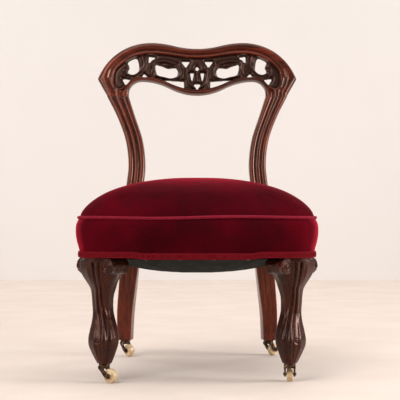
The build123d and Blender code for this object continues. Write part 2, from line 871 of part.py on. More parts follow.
def spring_sections(across, along):
    bottom = web_top - webbing_sag * web_drop(across, along) + cloth_gap + 0.75 * spring_wire
    top = hessian_top - hessian_thickness - cloth_gap - spring_wire / 2
    steps = spring_turns * spring_sides
    rings = []
    for step in range(steps + 1):
        share = step / steps
        turn = 2 * pi * step / spring_sides
        waist = (2 * share - 1) ** 2
        reach = spring_waist_radius + (spring_top_radius - spring_waist_radius) * waist
        level = bottom + (top - bottom) * share
        outward = (cos(turn), sin(turn), 0)
        onward = (-sin(turn), cos(turn), 0)
        place = (across + reach * outward[0], along + reach * outward[1], level)
        with BuildSketch(Plane(place, x_dir=outward, z_dir=onward)) as ring:
            Rectangle(spring_wire, spring_wire)
        rings.append(ring.sketch)
    return rings


spring_places = [(0, web_middle_y)] + [
    (across * webbing_spacing_x, web_middle_y + along * webbing_spacing_y)
    for across in (-1, 1)
    for along in (-1, 1)
]
with BuildPart() as seat_springs:
    for across, along in spring_places:
        loft(spring_sections(across, along), ruled=True)
save(seat_springs, "seat_springs")

with BuildPart() as hessian_inside:
    hessian_tent(-hessian_thickness)

with BuildPart() as hessian_outside:
    hessian_tent(cloth_gap)

with BuildPart() as spring_hessian:
    hessian_tent(0)
    add(hessian_inside.part, mode=Mode.SUBTRACT)
save(spring_hessian, "spring_hessian")

# Hair stuffing over the hessian, under the velvet cover
cover_base = piping_height + cloth_gap / 2
stuffing_levels = [(0.0, 0.955), (0.5, 0.78), (0.76, 0.42), (0.83, 0.15)]


def stuffing_cap(gap):
    levels = [(cover_base - gap, stuffing_levels[0][1])] + [
        (cover_base + share * seat_crown - gap, shrink) for share, shrink in stuffing_levels[1:]
    ]
    loft([padding_plan(height, rail_inset, shrink) for height, shrink in levels], ruled=True)


with BuildPart() as stuffing_dome:
    stuffing_cap(0)

with BuildPart() as seat_stuffing:
    stuffing_cap(cloth_gap)
    extrude(padding_plan(hessian_base, rail_inset), amount=cover_base - cloth_gap - hessian_base)
    add(hessian_outside.part, mode=Mode.SUBTRACT)
save(seat_stuffing, "seat_stuffing")

# Velvet cover: a dome over the whole seat, hollow where the stuffing fills it
dome_shrinks = [1.0, 0.985, 0.94, 0.86, 0.74, 0.58, 0.4, 0.2]
notch_fade = 0.25


def dome_section(shrink):
    rise = seat_crown * sqrt(1 - shrink**2)
    return seat_plan(cover_base + rise, -piping_tuck - cloth_gap, shrink, (1 - shrink) / notch_fade)


with BuildPart() as seat_cover:
    loft([dome_section(shrink) for shrink in dome_shrinks])
    add(stuffing_dome.part, mode=Mode.SUBTRACT)
save(seat_cover, "seat_cover")

# Border round the seat below the piping
border_bottom = capital_top - apron_drop
border_top = piping_height - cloth_gap / 2
border_levels = [
    (border_bottom, -border_tuck),
    (capital_top + gimp_height + 1, -border_tuck + 0.4),
    (rail_top - 24, 0.35 * border_bulge),
    (rail_top - 2, border_bulge),
    (piping_height - 9, 0.45 * border_bulge),
    (border_top, -piping_tuck),
]
inner_wall = -piping_tuck - border_thickness

with BuildPart() as border_inside:
    extrude(seat_plan(border_bottom - 1, inner_wall), amount=border_top - border_bottom + 2)

with BuildPart() as seat_border:
    loft([seat_plan(height, grow) for height, grow in border_levels])
    add(border_inside.part, mode=Mode.SUBTRACT)
    add(below_apron.part, mode=Mode.SUBTRACT)
save(seat_border, "seat_border")

# Piping cord in the seam between the cover and the border
seam = seat_plan(piping_height, piping_proud)
seam_front = [edge for edge in seam.edges() if edge.center().Y < notch_y - 5]
seam_back = seam.edges().sort_by(Axis.Y)[-1:]

with BuildPart() as seat_piping:
    for edges in (seam_front, seam_back):
        path = Wire.combine(edges)[0]
        with BuildSketch(Plane(path @ 0, z_dir=path % 0)) as cord:
            RegularPolygon(piping_radius, 8)
        sweep(cord.sketch, path=path)
save(seat_piping, "seat_piping")

# Gimp braid along the lower edge
gimp_inner = -border_tuck + 0.4 + cloth_gap

with BuildPart() as gimp_inside:
    extrude(seat_plan(border_bottom - 1, gimp_inner), amount=gimp_height + apron_drop + 4)

with BuildPart() as gimp_braid:
    extrude(seat_plan(border_bottom - 1, gimp_inner + gimp_thickness), amount=gimp_height + apron_drop + 4)
    add(gimp_inside.part, mode=Mode.SUBTRACT)
    add(gimp_strip.part, mode=Mode.INTERSECT)
save(gimp_braid, "gimp_braid")

# Bottom cloth, cut round the legs and tacked under the rails
cloth_top = web_top - webbing_thickness - cloth_gap
cloth_front_x = leg_x - capital_width / 2 - 3
cloth_corner_y = leg_y + capital_width / 2 + 3
cloth_cut = leg_block_inner_x - leg_block_back_y - 4
cloth_grip = rail_thickness / 2
cloth_levels = [(0.0, 1.0), (0.002, 0.945), (0.42, 0.84), (0.76, 0.58), (0.95, 0.28), (1.0, 0.1)]


def cloth_plan(height, shrink):
    front = front_inner_y - cloth_grip - seat_middle_y
    corner = cloth_corner_y - seat_middle_y
    notch = notch_y - 3 - seat_middle_y
    back = back_inner_y + cloth_grip - seat_middle_y
    side_front = side_rail_x(cloth_corner_y)
    side_back = side_rail_x(notch_y - 3)
    right = [
        (cloth_front_x, front),
        (cloth_front_x, cloth_front_x - cloth_cut - seat_middle_y),
        (cloth_corner_y + cloth_cut, corner),
        (side_front, corner),
        (side_back, notch),
        (notch_x - 2, notch),
        (notch_x - 2, back),
    ]
    left = [(-across, along) for across, along in reversed(right)]
    with BuildSketch(Plane((0, seat_middle_y, height))) as plan:
        with BuildLine():
            Polyline(*right, *left, close=True)
        make_face()
        scale(by=shrink)
    return plan.sketch


def cloth_dish(top):
    levels = [(top - share * bottom_cloth_sag, shrink) for share, shrink in reversed(cloth_levels)]
    loft([cloth_plan(height, shrink) for height, shrink in levels], ruled=True)


with BuildPart() as cloth_inside:
    cloth_dish(cloth_top)

with BuildPart() as bottom_cloth:
    cloth_dish(cloth_top - bottom_cloth_thickness)
    extrude(cloth_plan(cloth_top - bottom_cloth_thickness, 1.0), amount=bottom_cloth_thickness)
    add(cloth_inside.part, mode=Mode.SUBTRACT)
save(bottom_cloth, "bottom_cloth")

# Tacks that hold the bottom cloth
tack_level = cloth_top - bottom_cloth_thickness - tack_height / 2 - 2 * running_gap
side_tack_start = cloth_corner_y + 14
side_tack_step = (notch_y - 20 - side_tack_start) / 4
tack_places = [
    (side_rail_x(side_tack_start + step * side_tack_step) - 6, side_tack_start + step * side_tack_step)
    for step in range(5)
]
tack_places += [(across, back_inner_y + 6) for across in (35, 100)]
tack_places += [(across, front_inner_y - 6) for across in (35, 105)]

with BuildPart() as bottom_cloth_tacks:
    with Locations(*[(across, along, tack_level) for across, along in tack_places]):
        Box(2 * tack_radius, 2 * tack_radius, tack_height)
    mirror(about=Plane.YZ)
save(bottom_cloth_tacks, "bottom_cloth_tacks")
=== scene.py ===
"""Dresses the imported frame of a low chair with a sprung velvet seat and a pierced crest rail."""

import logging
import math
from dataclasses import dataclass
from enum import Enum
from typing import Any

import bmesh
import bpy
import numpy as np
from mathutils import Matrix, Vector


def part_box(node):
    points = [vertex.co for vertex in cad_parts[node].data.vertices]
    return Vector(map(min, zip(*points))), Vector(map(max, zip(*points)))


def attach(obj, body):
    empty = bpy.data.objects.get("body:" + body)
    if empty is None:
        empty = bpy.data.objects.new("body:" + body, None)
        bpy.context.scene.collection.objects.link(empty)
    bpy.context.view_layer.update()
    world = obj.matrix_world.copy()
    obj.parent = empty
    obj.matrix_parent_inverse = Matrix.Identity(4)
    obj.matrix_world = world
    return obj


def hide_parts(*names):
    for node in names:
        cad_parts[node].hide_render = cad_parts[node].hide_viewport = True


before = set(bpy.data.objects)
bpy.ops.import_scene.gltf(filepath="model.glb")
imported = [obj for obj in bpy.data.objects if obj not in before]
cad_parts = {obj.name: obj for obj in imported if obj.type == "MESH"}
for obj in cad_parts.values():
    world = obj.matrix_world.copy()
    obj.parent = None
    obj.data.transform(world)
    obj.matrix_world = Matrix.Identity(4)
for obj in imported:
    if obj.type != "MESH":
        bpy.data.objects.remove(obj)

Array = np.ndarray
Colour = tuple[float, float, float, float]

MM = 0.001
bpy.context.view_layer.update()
BODY = "chair"
FRONT_CASTOR = (191.7, -208.0)
BACK_CASTOR = (177.0, 236.0)
EDGE_ANGLE = math.radians(35)
UP = np.array((0.0, 0.0, 1.0))
FAR = 40.0
TINY = 1e-6
log = logging.getLogger("chair")


def frame_offset() -> Array:
    """Where the drawing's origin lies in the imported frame.

    Returns:
        The offset in millimetres.
    """
    low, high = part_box("castor_plate_back_right")
    middle = (low + high) / 2
    return np.array([middle.x / MM - BACK_CASTOR[0], middle.y / MM - BACK_CASTOR[1], 0.0])


OFFSET = frame_offset()


class Side(Enum):
    """The chair's two sides, as seen from the front."""

    LEFT = -1
    RIGHT = 1


class GrainRun(Enum):
    """Which way the wood's grain runs, as stretch factors of its figure."""

    ACROSS = (2.6, 34.0, 34.0)
    UPRIGHT = (34.0, 34.0, 2.6)
    DEPTH = (34.0, 2.6, 34.0)


# Shapes


@dataclass
class Shape:
    """Points in millimetres, in the drawing's frame, and the faces that join them."""

    points: Array
    faces: list[tuple[int, ...]]

    @staticmethod
    def joined(shapes: list["Shape"]) -> "Shape":
        """One shape out of several.

        Args:
            shapes: The shapes to put together.

        Returns:
            A shape that holds them all.
        """
        points: list[Array] = []
        faces: list[tuple[int, ...]] = []
        start = 0
        for shape in shapes:
            points.append(shape.points)
            faces.extend(tuple(i + start for i in face) for face in shape.faces)
            start += len(shape.points)
        return Shape(np.concatenate(points), faces)

    def mirrored(self) -> "Shape":
        """The same shape on the chair's other side."""
        return Shape(self.points * (-1.0, 1.0, 1.0), [face[::-1] for face in self.faces])


def smooth_curve(knots: Array, values: Array, at: Array) -> Array:
    """Smooth curve through values given at knots.

    Args:
        knots: Where the values are given, rising.
        values: One value or row of values for each knot.
        at: Where the curve is wanted.

    Returns:
        The values at those places.
    """
    knots, values = np.asarray(knots, float), np.asarray(values, float)
    slopes = np.gradient(values, knots, axis=0)
    at = np.clip(at, knots[0], knots[-1])
    place = np.clip(np.searchsorted(knots, at, side="right") - 1, 0, len(knots) - 2)
    span = knots[place + 1] - knots[place]
    share = (at - knots[place]) / span
    if values.ndim > 1:
        share, span = share[:, None], span[:, None]
    left, right = share * share * (3 - 2 * share), share * share * (share - 1)
    start = share * (share - 1) ** 2
    ends = values[place] * (1 - left) + values[place + 1] * left
    return ends + span * (start * slopes[place] + right * slopes[place + 1])


def respaced(path: Array, count: int, closed: bool = False) -> Array:
    """The same path with its points spread evenly.

    Args:
        path: The path's points.
        count: How many points are wanted.
        closed: Whether the path comes back to its first point.

    Returns:
        The evenly spread points.
    """
    line = np.concatenate([path, path[:1]]) if closed else path
    along = np.concatenate([[0], np.cumsum(np.linalg.norm(np.diff(line, axis=0), axis=1))])
    at = np.linspace(0, along[-1], count, endpoint=not closed)
    return np.stack([np.interp(at, along, line[:, k]) for k in range(line.shape[1])], axis=1)


def path_length(path: Array) -> float:
    """Length of an open path."""
    return float(np.linalg.norm(np.diff(path, axis=0), axis=1).sum())


def headings(path: Array) -> Array:
    """Direction of an open path at each of its points."""
    along = np.gradient(path, axis=0)
    return along / np.linalg.norm(along, axis=1)[:, None]


def lofted(rows: Array, capped: bool = False) -> Shape:
    """Skin over rows of points that each close on themselves.

    Args:
        rows: The points, row by row.
        capped: Whether the first and last rows are filled in.

    Returns:
        The skin.
    """
    count, width = rows.shape[:2]
    faces: list[tuple[int, ...]] = []
    for row in range(count - 1):
        low, high = row * width, (row + 1) * width
        for step in range(width):
            after = (step + 1) % width
            faces.append((low + step, low + after, high + after, high + step))
    if capped:
        faces.append(tuple(range(width))[::-1])
        faces.append(tuple(range((count - 1) * width, count * width)))
    return Shape(rows.reshape(-1, 3), faces)


def dished(rows: list[Array]) -> Shape:
    """Skin over rows of points, with only the last row filled in.

    Args:
        rows: The points, row by row.

    Returns:
        The skin.
    """
    shape = lofted(np.array(rows))
    last = len(shape.points) - len(rows[-1])
    shape.faces.append(tuple(range(last, len(shape.points))))
    return shape


def tube(path: Array, radius: float, sides: int) -> Shape:
    """Round bar along a path that never runs straight up.

    Args:
        path: Points down the middle of the bar.
        radius: The bar's radius.
        sides: How many flats it has.

    Returns:
        The bar.
    """
    along = headings(path)
    level = np.cross(along, UP)
    level = level / np.linalg.norm(level, axis=1)[:, None]
    upward = np.cross(level, along)
    turn = np.linspace(0, 2 * math.pi, sides, endpoint=False)
    ring = np.cos(turn)[None, :, None] * level[:, None] + np.sin(turn)[None, :, None] * upward[:, None]
    return lofted(path[:, None] + radius * ring, capped=True)


def lathed(profile: tuple[tuple[float, float], ...], sides: int) -> Shape:
    """Turned piece about the Z axis.

    Args:
        profile: Radius and height of each step, upwards.
        sides: How many flats it has.

    Returns:
        The turned piece.
    """
    turn = np.linspace(0, 2 * math.pi, sides, endpoint=False)
    rows = np.array([[(r * math.cos(a), r * math.sin(a), h) for a in turn] for r, h in profile])
    return lofted(rows, capped=True)


def surface_net(solid: Array, origin: Array, step: float) -> Shape:
    """Skin of a solid given as a field that is negative inside it.

    Args:
        solid: The field's values on a regular grid.
        origin: Place of the grid's first point.
        step: The grid's spacing.

    Returns:
        The skin, as four-sided faces.
    """
    inside = solid < 0
    size = np.array(solid.shape)
    corners = sum(
        inside[i : size[0] - 1 + i, j : size[1] - 1 + j, k : size[2] - 1 + k].astype(np.uint8)
        for i in (0, 1)
        for j in (0, 1)
        for k in (0, 1)
    )
    mixed = (corners > 0) & (corners < 8)
    number = np.full(mixed.shape, -1, np.int64)
    number[mixed] = np.arange(mixed.sum())
    cells = np.argwhere(mixed)
    total, count = np.zeros((len(cells), 3)), np.zeros(len(cells))
    faces: list[Array] = []
    for axis in range(3):
        one, two = (axis + 1) % 3, (axis + 2) % 3
        for first in (0, 1):
            for second in (0, 1):
                shift = np.zeros(3, int)
                shift[one], shift[two] = first, second
                near = cells + shift
                far = near.copy()
                far[:, axis] += 1
                start, end = solid[tuple(near.T)], solid[tuple(far.T)]
                crossed = (start < 0) != (end < 0)
                share = start[crossed] / (start[crossed] - end[crossed])
                place = near[crossed].astype(float)
                place[:, axis] += share
                total[crossed] += place
                count[crossed] += 1
        low = [slice(None)] * 3
        high = [slice(None)] * 3
        low[axis], high[axis] = slice(0, -1), slice(1, None)
        crossing = inside[tuple(low)] != inside[tuple(high)]
        edges = np.argwhere(crossing)
        keep = (edges[:, one] > 0) & (edges[:, two] > 0)
        keep &= (edges[:, one] < size[one] - 1) & (edges[:, two] < size[two] - 1)
        edges = edges[keep]
        step_one, step_two = np.zeros(3, int), np.zeros(3, int)
        step_one[one], step_two[two] = 1, 1
        around = [edges - step_one - step_two, edges - step_two, edges, edges - step_one]
        quad = np.stack([number[tuple(cell.T)] for cell in around], axis=1)
        starts_inside = inside[tuple(edges.T)]
        quad[~starts_inside] = quad[~starts_inside][:, ::-1]
        faces.append(quad)
    points = origin + step * total / count[:, None]
    return Shape(points, [tuple(face) for face in np.concatenate(faces).tolist()])


def softened(shape: Shape, rounds: int, share: float = 0.5) -> Shape:
    """The shape with its points drawn towards their neighbours.

    Args:
        shape: The shape to soften.
        rounds: How many times it is done.
        share: How far a point goes each time.

    Returns:
        The softened shape.
    """
    quads = np.array([face for face in shape.faces if len(face) == 4])
    pairs = np.concatenate([quads[:, [i, (i + 1) % 4]] for i in range(4)])
    ends = np.concatenate([pairs[:, 0], pairs[:, 1]])
    others = np.concatenate([pairs[:, 1], pairs[:, 0]])
    count = np.maximum(np.bincount(ends, minlength=len(shape.points)), 1)[:, None]
    points = shape.points
    for _ in range(rounds):
        total = [np.bincount(ends, points[others, axis], len(points)) for axis in range(3)]
        points = points + share * (np.stack(total, axis=1) / count - points)
    return Shape(points, shape.faces)


def relief(shape: Shape, rounds: int = 40) -> Array:
    """How far each point of a carving stands out from the softened form.

    Args:
        shape: The carving.
        rounds: How far the form is softened.

    Returns:
        A height for each point, negative in the hollows.
    """
    quads = np.array([face for face in shape.faces if len(face) == 4])
    corner = shape.points[quads]
    normal = np.cross(corner[:, 2] - corner[:, 0], corner[:, 3] - corner[:, 1])
    total = np.zeros_like(shape.points)
    for k in range(4):
        for axis in range(3):
            total[:, axis] += np.bincount(quads[:, k], normal[:, axis], len(total))
    total /= np.maximum(np.linalg.norm(total, axis=1), 1e-9)[:, None]
    return ((shape.points - softened(shape, rounds).points) * total).sum(axis=1)


def outline_distance(outline: Array, across: Array, along: Array) -> Array:
    """Distance from places on a plane to a closed outline.

    Args:
        outline: The outline's points.
        across: First coordinate of the places.
        along: Second coordinate of the places.

    Returns:
        The distances, negative inside the outline.
    """
    best = np.full(across.shape, np.inf)
    inside = np.zeros(across.shape, bool)
    for start, end in zip(outline, np.roll(outline, -1, axis=0)):
        best = np.minimum(best, segment_distance(start, end, across, along))
        if start[1] != end[1]:
            between = (start[1] > along) != (end[1] > along)
            slope = (end[0] - start[0]) / (end[1] - start[1])
            inside ^= between & (across < start[0] + (along - start[1]) * slope)
    return np.where(inside, -best, best)


def segment_distance(start: Array, end: Array, across: Array, along: Array) -> Array:
    """Distance from places on a plane to one straight stretch.

    Args:
        start: Where the stretch starts.
        end: Where it ends.
        across: First coordinate of the places.
        along: Second coordinate of the places.

    Returns:
        The distances.
    """
    side = np.asarray(end, float) - start
    share = ((across - start[0]) * side[0] + (along - start[1]) * side[1]) / max(side @ side, 1e-9)
    share = np.clip(share, 0, 1)
    return np.hypot(across - start[0] - share * side[0], along - start[1] - share * side[1])


def line_distance(path: Array, across: Array, along: Array) -> Array:
    """Distance from places on a plane to an open path.

    Args:
        path: The path's points.
        across: First coordinate of the places.
        along: Second coordinate of the places.

    Returns:
        The distances.
    """
    best = np.full(across.shape, np.inf)
    for start, end in zip(path[:-1], path[1:]):
        best = np.minimum(best, segment_distance(start, end, across, along))
    return best


def rounded(share: Array) -> Array:
    """Quarter-round rise from nought to one."""
    share = np.clip(share, 0, 1)
    return np.sqrt(1 - (1 - share) ** 2)


def hump(away: Array, width: float | Array) -> Array:
    """Bell-shaped rise, one in its middle."""
    return np.exp(-((away / width) ** 2))


def ridged(away: Array, ridges: tuple) -> Array:
    """Ridges and grooves side by side, each given by its rise, its place and its width."""
    return sum(rise * hump(away - place, width) for rise, place, width in ridges)


def fall(value: Array, width: float) -> Array:
    """Soft step from one, where the value is low, down to nought."""
    return 1 / (1 + np.exp(value / width))


def merged(one: Array, two: Array, blend: float) -> Array:
    """Two solids' fields joined with a soft fillet.

    Args:
        one: Field of the first solid.
        two: Field of the second solid.
        blend: Reach of the fillet.

    Returns:
        Field of the joined solid.
    """
    share = np.clip(0.5 + 0.5 * (two - one) / blend, 0, 1)
    return two + (one - two) * share - blend * share * (1 - share)


def flowing(points: tuple[tuple[float, float], ...], closed: bool = False, fine: int = 10) -> Array:
    """Smooth line through points on a plane.

    Args:
        points: The points that it goes through.
        closed: Whether it comes back to the first.
        fine: How many steps lie between two points.

    Returns:
        The points of the line.
    """
    given = np.array(points, float)
    if closed:
        given = np.concatenate([given[-2:], given, given[:3]])
        at = np.linspace(2, len(given) - 3, (len(given) - 5) * fine, endpoint=False)
    else:
        at = np.linspace(0, len(given) - 1, (len(given) - 1) * fine + 1)
    return smooth_curve(np.arange(len(given)), given, at)


def new_mesh(name: str, points: Array, faces: list[tuple[int, ...]]) -> bpy.types.Mesh:
    """A mesh from points and faces."""
    mesh = bpy.data.meshes.new(name)
    mesh.from_pydata(points.tolist(), [], faces)
    return mesh


def in_scene(name: str, data: Any) -> bpy.types.Object:
    """An object with the given data, put in the scene."""
    made = bpy.data.objects.new(name, data)
    bpy.context.scene.collection.objects.link(made)
    return made


def mesh_points(mesh: bpy.types.Mesh) -> Array:
    """A mesh's points, in its own units."""
    return np.array([tuple(vert.co) for vert in mesh.vertices])


def make_piece(
    name: str,
    shape: Shape,
    finish: bpy.types.Material,
    body: str = BODY,
    stands_for: tuple[str, ...] = (),
    worn: Array | None = None,
) -> bpy.types.Object:
    """Puts a piece in the scene, on the body that it moves with.

    Args:
        name: The piece's name.
        shape: Its shape.
        finish: Its material.
        body: The body that it rides on.
        stands_for: The nodes that it replaces.
        worn: How each point stands out, which its finish turns into painted shade in the hollows and paler
            rubbed edges.

    Returns:
        The piece.
    """
    mesh = new_mesh(name, (shape.points + OFFSET) * MM, shape.faces)
    if worn is not None:
        mesh.attributes.new("relief", "FLOAT", "POINT").data.foreach_set("value", worn)
    mesh.validate()
    mesh.polygons.foreach_set("use_smooth", [True] * len(mesh.polygons))
    mesh.materials.append(finish)
    piece = in_scene(name, mesh)
    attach(piece, body)
    if stands_for:
        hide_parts(*stands_for)
    log.info("%s: %d points on %s", name, len(shape.points), body)
    return piece


def both_sides(right: Shape, piece: str, node: str, finish: bpy.types.Material) -> None:
    """Puts a piece of show wood on both sides of the chair.

    Args:
        right: The right-hand one's shape.
        piece: The pieces' name, without the side.
        node: The name of the nodes that they replace, without the side.
        finish: Their material.
    """
    for side in Side:
        name = side.name.lower()
        shape = right if side is Side.RIGHT else right.mirrored()
        stands_for = (f"{node}_{name}",)
        # The relief gives the wood painted shade in its hollows and paler rubbed edges.
        make_piece(f"{piece}_{name}", shape, finish, BODY, stands_for, relief(shape))


def dress_node(node: str, finish: bpy.types.Material, bevel: float = 0.0) -> None:
    """Gives a carried-over node its finish.

    Args:
        node: The node's name.
        finish: Its material.
        bevel: Width of its softened edges in millimetres, or nought.
    """
    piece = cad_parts[node]
    if not piece.material_slots:
        piece.data.materials.append(finish)
    for place in piece.material_slots:
        place.material = finish
    if bevel:
        soft = piece.modifiers.new("soft_edges", "BEVEL")
        soft.width, soft.segments = bevel * MM, 2
        soft.limit_method, soft.angle_limit = "ANGLE", EDGE_ANGLE
    log.info("%s: carried over", node)


def node_shape(node: str) -> Shape:
    """A node's own mesh as a shape in the drawing's frame."""
    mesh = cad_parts[node].data
    return Shape(mesh_points(mesh) / MM - OFFSET, [tuple(face.vertices) for face in mesh.polygons])


def sawn(shape: Shape, height: float) -> Shape:
    """The part of a shape above a height, with the cut closed.

    Args:
        shape: A closed shape.
        height: Height of the cut.

    Returns:
        What is left above it.
    """
    mesh = new_mesh("saw_work", shape.points, shape.faces)
    work = bmesh.new()
    work.from_mesh(mesh)
    every = work.verts[:] + work.edges[:] + work.faces[:]
    bmesh.ops.bisect_plane(work, geom=every, plane_co=(0, 0, height), plane_no=(0, 0, 1), clear_inner=True)
    bmesh.ops.holes_fill(work, edges=[edge for edge in work.edges if edge.is_boundary], sides=0)
    work.verts.index_update()
    points = np.array([tuple(vert.co) for vert in work.verts])
    faces = [tuple(vert.index for vert in face.verts) for face in work.faces]
    work.free()
    bpy.data.meshes.remove(mesh)
    return Shape(points, faces)


def remeshed(shape: Shape, voxel: float) -> Shape:
    """The shape's skin made again with even faces.

    Args:
        shape: A closed shape.
        voxel: Size of the faces in millimetres.

    Returns:
        The new skin.
    """
    mesh = new_mesh("remesh_work", shape.points * MM, shape.faces)
    work = in_scene("remesh_work", mesh)
    remesh = work.modifiers.new("even", "REMESH")
    remesh.mode, remesh.voxel_size = "VOXEL", voxel * MM
    made = bpy.data.meshes.new_from_object(work.evaluated_get(bpy.context.evaluated_depsgraph_get()))
    points = mesh_points(made) / MM
    faces = [tuple(face.vertices) for face in made.polygons]
    bpy.data.objects.remove(work)
    bpy.data.meshes.remove(mesh)
    bpy.data.meshes.remove(made)
    return Shape(points, faces)


# Finishes


class ShaderTree:
    """Adds and joins shader nodes in one tree."""

    def __init__(self, tree: bpy.types.NodeTree) -> None:
        """Starts on a tree."""
        self.tree = tree

    def put(self, node: bpy.types.Node, inputs: dict[Any, Any]) -> None:
        """Sets a node's inputs.

        Args:
            node: The node.
            inputs: A plain value, or a socket to join, for each input.
        """
        for key, value in inputs.items():
            if isinstance(value, bpy.types.NodeSocket):
                self.tree.links.new(value, node.inputs[key])
            else:
                node.inputs[key].default_value = value

    def add(self, kind: str, inputs: dict[Any, Any] | None = None, **settings: Any) -> bpy.types.Node:
        """Adds a node.

        Args:
            kind: Blender's name for the node.
            inputs: Values or sockets for its inputs.
            settings: Its other settings.

        Returns:
            The node.
        """
        node = self.tree.nodes.new(kind)
        for key, value in settings.items():
            setattr(node, key, value)
        self.put(node, inputs or {})
        return node

    def mixed(self, share: Any, one: Any, two: Any, mode: str = "MIX") -> bpy.types.NodeSocket:
        """Mixes two colours.

        Args:
            share: How much of the second.
            one: The first colour or socket.
            two: The second colour or socket.
            mode: How they are mixed.

        Returns:
            The mixed colour's socket.
        """
        node = self.add("ShaderNodeMix", {0: share, 6: one, 7: two}, data_type="RGBA", blend_type=mode)
        return node.outputs[2]

    def calc(self, operation: str, *values: Any) -> bpy.types.NodeSocket:
        """Works out a value from others."""
        return self.add("ShaderNodeMath", dict(enumerate(values)), operation=operation).outputs[0]

    def ranged(self, value: Any, low: float, high: float, to_low: Any = 0.0, to_high: Any = 1.0) -> Any:
        """Maps a value from one range to another.

        Args:
            value: The value or socket.
            low: Start of its range.
            high: End of its range.
            to_low: What the start becomes.
            to_high: What the end becomes.

        Returns:
            The mapped value's socket.
        """
        inputs = {"Value": value, "From Min": low, "From Max": high, "To Min": to_low, "To Max": to_high}
        return self.add("ShaderNodeMapRange", inputs, interpolation_type="SMOOTHSTEP").outputs[0]

    def noise(self, vector: Any, scale: Any, detail: float = 4.0, rough: float = 0.55) -> Any:
        """Cloudy value between nought and one."""
        inputs = {"Vector": vector, "Scale": scale, "Detail": detail, "Roughness": rough}
        return self.add("ShaderNodeTexNoise", inputs).outputs[0]

    def bump(self, height: Any, strength: float, distance: float) -> Any:
        """Turns a height into a tilt of the surface."""
        inputs = {"Strength": strength, "Distance": distance, "Height": height}
        return self.add("ShaderNodeBump", inputs).outputs[0]

    def placed(self, scale: tuple[float, float, float] = (1.0, 1.0, 1.0)) -> Any:
        """Places on the chair itself, stretched by scale."""
        where = self.add("ShaderNodeTexCoord").outputs["Object"]
        return self.add("ShaderNodeMapping", {"Vector": where, "Scale": scale}).outputs[0]

    def grouped(self, maker: Any, inputs: dict[str, Any]) -> Any:
        """Places a shared effect, sets its inputs and gives its outputs."""
        return self.add("ShaderNodeGroup", inputs, node_tree=Effects.get(maker)).outputs

    def gloss(self, scale: float, low: float, high: float) -> Any:
        """Places the patina effect and gives its outputs."""
        return self.grouped(patina, {"Vector": self.placed(), "Scale": scale, "Low": low, "High": high})

    def carved(self, colour: Any, hollow: Colour, edge: Colour, wear: float) -> Any:
        """Darkens a colour in the carving's hollows and pales it on its edges, by how the carving stands
        out, and gives the effect's outputs; on the wood the dark hollows are painted shade.
        """
        stands = self.add("ShaderNodeAttribute", attribute_name="relief").outputs["Fac"]
        inputs = {"Color": colour, "Hollow": hollow, "Edge": edge, "Wear": wear, "Relief": stands}
        return self.grouped(carving_shade, inputs)


def effect(name: str, inputs: dict[str, Any], outputs: dict[str, str]) -> tuple[Any, ShaderTree, Any, Any]:
    """Starts a shared effect as a node group.

    Args:
        name: The group's name.
        inputs: Its inputs, each with a first value.
        outputs: Its outputs, each with its kind of socket.

    Returns:
        The group, its tree, its inputs' sockets and its output node.
    """
    group = bpy.data.node_groups.new(name, "ShaderNodeTree")
    for label, value in inputs.items():
        kind = VALUE
        if not isinstance(value, float):
            kind = COLOUR if len(value) == 4 else "NodeSocketVector"
        group.interface.new_socket(name=label, in_out="INPUT", socket_type=kind).default_value = value
    for label, kind in outputs.items():
        group.interface.new_socket(name=label, in_out="OUTPUT", socket_type=kind)
    tree = ShaderTree(group)
    return group, tree, tree.add("NodeGroupInput").outputs, tree.add("NodeGroupOutput")


COLOUR, VALUE = "NodeSocketColor", "NodeSocketFloat"
BLACK: Colour = (0.0, 0.0, 0.0, 1.0)
WHITE: Colour = (1.0, 1.0, 1.0, 1.0)
NO_TURN = (0.0, 0.0, 0.0)
PORE: Colour = (0.006, 0.003, 0.002, 1.0)
CRACK: Colour = (0.32, 0.2, 0.1, 1.0)


def wood_grain() -> Any:
    """Effect: streaked figure and open pores of a close-grained wood.

    Returns:
        The effect's group.
    """
    group, tree, given, out = effect(
        "wood_grain",
        {"Vector": NO_TURN, "Dark": BLACK, "Light": WHITE},
        {"Color": COLOUR, "Height": VALUE},
    )
    vector = given["Vector"]
    broad = tree.noise(vector, 0.9, 5.0, 0.6)
    streak = tree.noise(vector, 5.2, 6.0, 0.65)
    pores = tree.noise(vector, 34.0, 2.0, 0.5)
    figure = tree.calc("ADD", tree.calc("MULTIPLY", broad, 0.65), tree.calc("MULTIPLY", streak, 0.45))
    colour = tree.mixed(tree.ranged(figure, 0.40, 0.72), given["Dark"], given["Light"])
    deep = tree.ranged(pores, 0.34, 0.46)
    colour = tree.mixed(tree.ranged(deep, 0.0, 1.0, 0.3, 0.0), colour, PORE)
    tree.put(out, {"Color": colour, "Height": deep})
    return group


def carving_shade() -> Any:
    """Effect: painted shade that darkens the hollows, old polish that dulls their gloss, and edges rubbed
    paler.

    Returns:
        The effect's group.
    """
    group, tree, given, out = effect(
        "carving_shade",
        {"Color": WHITE, "Hollow": BLACK, "Edge": WHITE, "Wear": 0.5, "Relief": 0.0},
        {"Color": COLOUR, "Polish": VALUE},
    )
    hollow = tree.ranged(given["Relief"], -1.5, 0.05, 1.0, 0.0)
    edge = tree.calc("MULTIPLY", tree.ranged(given["Relief"], 0.7, 2.6), given["Wear"])
    # Painted shade: the colour is darkened in the hollows, where shade falls.
    colour = tree.mixed(hollow, given["Color"], given["Hollow"])
    colour = tree.mixed(edge, colour, given["Edge"])
    tree.put(out, {"Color": colour, "Polish": tree.ranged(hollow, 0.0, 1.0, 0.0, 0.12)})
    return group


def patina() -> Any:
    """Effect: uneven gloss, from handling and dust.

    Returns:
        The effect's group.
    """
    group, tree, given, out = effect(
        "patina",
        {"Vector": NO_TURN, "Scale": 30.0, "Low": 0.2, "High": 0.4},
        {"Value": VALUE, "Mask": VALUE},
    )
    cloud = tree.noise(given["Vector"], given["Scale"], 5.0)
    mask = tree.ranged(cloud, 0.35, 0.68)
    tree.put(out, {"Value": tree.ranged(cloud, 0.32, 0.7, given["Low"], given["High"]), "Mask": mask})
    return group


